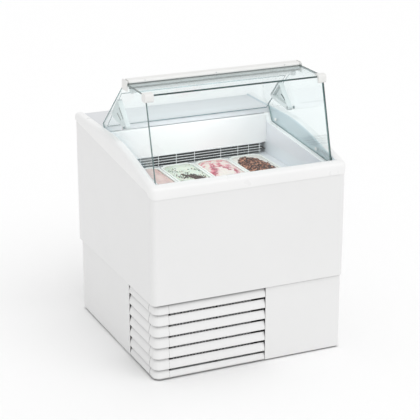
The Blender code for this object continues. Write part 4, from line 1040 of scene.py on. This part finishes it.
def make_flap():
    """Acrylic flap, its two arms with dark strips that paint the shade in their slots and pocket, and the
    pins that it swings on.
    """
    foot, head = Vector(FLAP_FOOT), Vector(FLAP_HEAD)
    along = (head - foot).normalized()
    normal = (0.0, -along[1], along[0])
    make_pane("rear_flap", normal, ACRYLIC_FACE, ACRYLIC_EDGE, 0.0005)
    outward = Vector((-along[1], along[0]))
    if outward[1] < 0:
        outward = -outward
    pin_s = (Vector(PIVOT) - foot).dot(along) + 0.010
    for hand, side in HANDS:
        outside = max(abs(edge[0]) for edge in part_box(f"flap_arm_{hand}"))
        # Dark strips in the slots and along the pocket wall: painted shade.
        strips = []
        for corners in (((-0.0050, -0.030), (-0.0020, -0.090), (-0.0085, -0.092), (-0.0135, -0.030)),
                        ((-0.0430, -0.034), (-0.0300, -0.074), (-0.0355, -0.078), (-0.0500, -0.034))):
            ring = [foot + along * (pin_s + up) + outward * across for up, across in corners]
            for near, far in ((0.3842, 0.3853), (outside - 0.0008, outside + 0.0003)):
                strips.append(skin([[(side * x, y, z) for y, z in ring] for x in (near, far)]))
        add(f"arm_shade_strips_{hand}", merged(*strips), SEAL_AND_SHADE, (), 30.0, "flap")
    pin = [(0.0, 0.3830), (0.0040, 0.3830), (0.0040, 0.3832), (0.0066, 0.3832), (0.0070, 0.3836),
           (0.0070, 0.3842), (0.0040, 0.3842), (0.0040, 0.3881), (0.0066, 0.3881), (0.0070, 0.3885),
           (0.0070, 0.3921), (0.0066, 0.3925), (0.0040, 0.3925), (0.0040, 0.3995), (0.0078, 0.3995),
           (0.0080, 0.4000), (0.0074, 0.4009), (0.0050, 0.4014), (0.0022, 0.4015), (0.0018, 0.4008),
           (0.0, 0.4008)]
    for hand, side in HANDS:
        refine(f"flap_arm_{hand}", ARM_AND_SHADE_GREY, 0.0008, 2, 45.0)
        shape = turned([(r, side * h) for r, h in pin], (0.0, *PIVOT), "X", 32)
        add(f"pivot_pin_{hand}", shape, STEEL, (f"flap_pin_{hand}",), 35.0)


# ---------------- rear controls
def make_controls():
    """Switches, thermostat knob and cable gland on the rear panel."""
    refine("control_panel", CONTROL_GREY, 0.0015, 3)
    refine("power_switch", BLACK, 0.0006, 2)
    refine("light_switch", BLACK, 0.0006, 2)
    refine("thermostat_knob", BLACK, 0.0008, 2, 30.0)
    refine("cable_gland", BLACK, 0.0006, 2, 40.0)


# ---------------- small trim pieces
def make_studs():
    """Round clamps that hold the side glass to the rim's inner wall."""
    profile = [(0.0, 0.0), (0.0066, 0.0), (0.0074, 0.0006), (0.0074, 0.0022), (0.0066, 0.0034),
               (0.0045, 0.0040), (0.0018, 0.0042), (0.0015, 0.0036), (0.0, 0.0036)]
    wall, spots = 0.3928, ((0.123, 0.889), (-0.259, 0.857))
    studs = [turned([(r, -side * h) for r, h in profile], (side * wall, y, z), "X", 24)
             for _, side in HANDS for y, z in spots]
    add("glass_studs", merged(*studs), CAP_WHITE, (), 35.0)


def make_seals():
    """Grey strip under the top pane that paints the shade on the lamp profile's face, with a dark seal below
    it that also paints the shade under the profile.
    """
    x, y = 0.3915, -0.0953
    # The face strip is painted shade on the lamp profile; the dark seal below also paints the shade under it.
    face = rounded(block((-x, y - 0.0012, 1.1724), (x, y, TOP_GLASS_Z - 0.0004)), 0.0004)
    add("canopy_face_shade_strip", face, ARM_AND_SHADE_GREY, (), 40.0)
    seal = rounded(block((-x, y - 0.0034, 1.1656), (x, y, 1.1726)), 0.0006)
    add("canopy_seals", seal, SEAL_AND_SHADE, (), 40.0)


def make_screws():
    """Round screw heads with a recessed centre along the lamp profile."""
    radius = 0.0026
    profile = [(0.0, 0.0), (radius, 0.0), (radius, 0.0004), (radius * 0.90, 0.0011), (radius * 0.62, 0.0016),
               (radius * 0.42, 0.0017), (radius * 0.36, 0.0008), (0.0, 0.0008)]
    heads = [turned(profile, (x, -0.0951, 1.1945), "Y", 16) for x in (-0.32, 0.0, 0.32)]
    add("profile_screws", merged(*heads), STEEL, (), 30.0)


make_body()
make_plinth()
make_hem_shade_strip()
make_louvres()
make_rim()
make_counter()
make_tank()
make_condensing_unit()
make_feet()
make_pans()
make_canopy()
make_flap()
make_controls()
make_studs()
make_seals()
make_screws()

# ---------------- floor, light, camera
floor_mesh = bpy.data.meshes.new("floor")
floor_shape = bmesh.new()
bmesh.ops.create_grid(floor_shape, x_segments=1, y_segments=1, size=30.0)
floor_shape.to_mesh(floor_mesh)
floor_shape.free()
floor = bpy.data.objects.new("floor", floor_mesh)
scene.collection.objects.link(floor)
ground = Surface("floor", (0.96, 0.96, 0.96), 0.9)
floor_mesh.materials.append(ground.made)

world = bpy.data.worlds.new("studio")
world.use_nodes = True
world.node_tree.nodes["Background"].inputs["Color"].default_value = (1.0, 1.0, 1.0, 1.0)
world.node_tree.nodes["Background"].inputs["Strength"].default_value = 0.845
scene.world = world


def light(name, place, aim, size, power):
    """Rectangular area light, aimed at a point and unseen by the camera."""
    data = bpy.data.lights.new(name, "AREA")
    data.shape = "RECTANGLE"
    data.size, data.size_y = size
    data.energy = power
    made = bpy.data.objects.new(name, data)
    made.location = place
    made.rotation_mode = "QUATERNION"
    made.rotation_quaternion = (Vector(aim) - Vector(place)).to_track_quat("-Z", "Y")
    made.visible_camera = False
    scene.collection.objects.link(made)


light("cabinet_lamp", (0.0, LAMP[0] + 0.002, LAMP[1] - 0.012), (0.0, 0.110, 0.83), (0.56, 0.014), 1.15)

sky = bpy.data.lights.new("overhead_softbox", "SUN")
sky.energy = 0.76
sky.angle = math.radians(50.0)
softbox = bpy.data.objects.new("overhead_softbox", sky)
softbox.rotation_mode = "QUATERNION"
softbox.rotation_quaternion = Vector((-0.15, 0.55, -0.82)).to_track_quat("-Z", "Y")
scene.collection.objects.link(softbox)

camera_data = bpy.data.cameras.new("camera")
camera_data.sensor_width = 36.0
camera_data.lens = 125.43
camera_data.clip_end = 100.0
camera = bpy.data.objects.new("camera", camera_data)
camera.location = (-2.4724, -5.5194, 2.6705)
azimuth, elevation = 24.25, 19.28
camera.rotation_euler = (math.radians(90.0 - elevation), 0.0, math.radians(-azimuth))
scene.collection.objects.link(camera)
scene.camera = camera

bpy.context.view_layer.update()
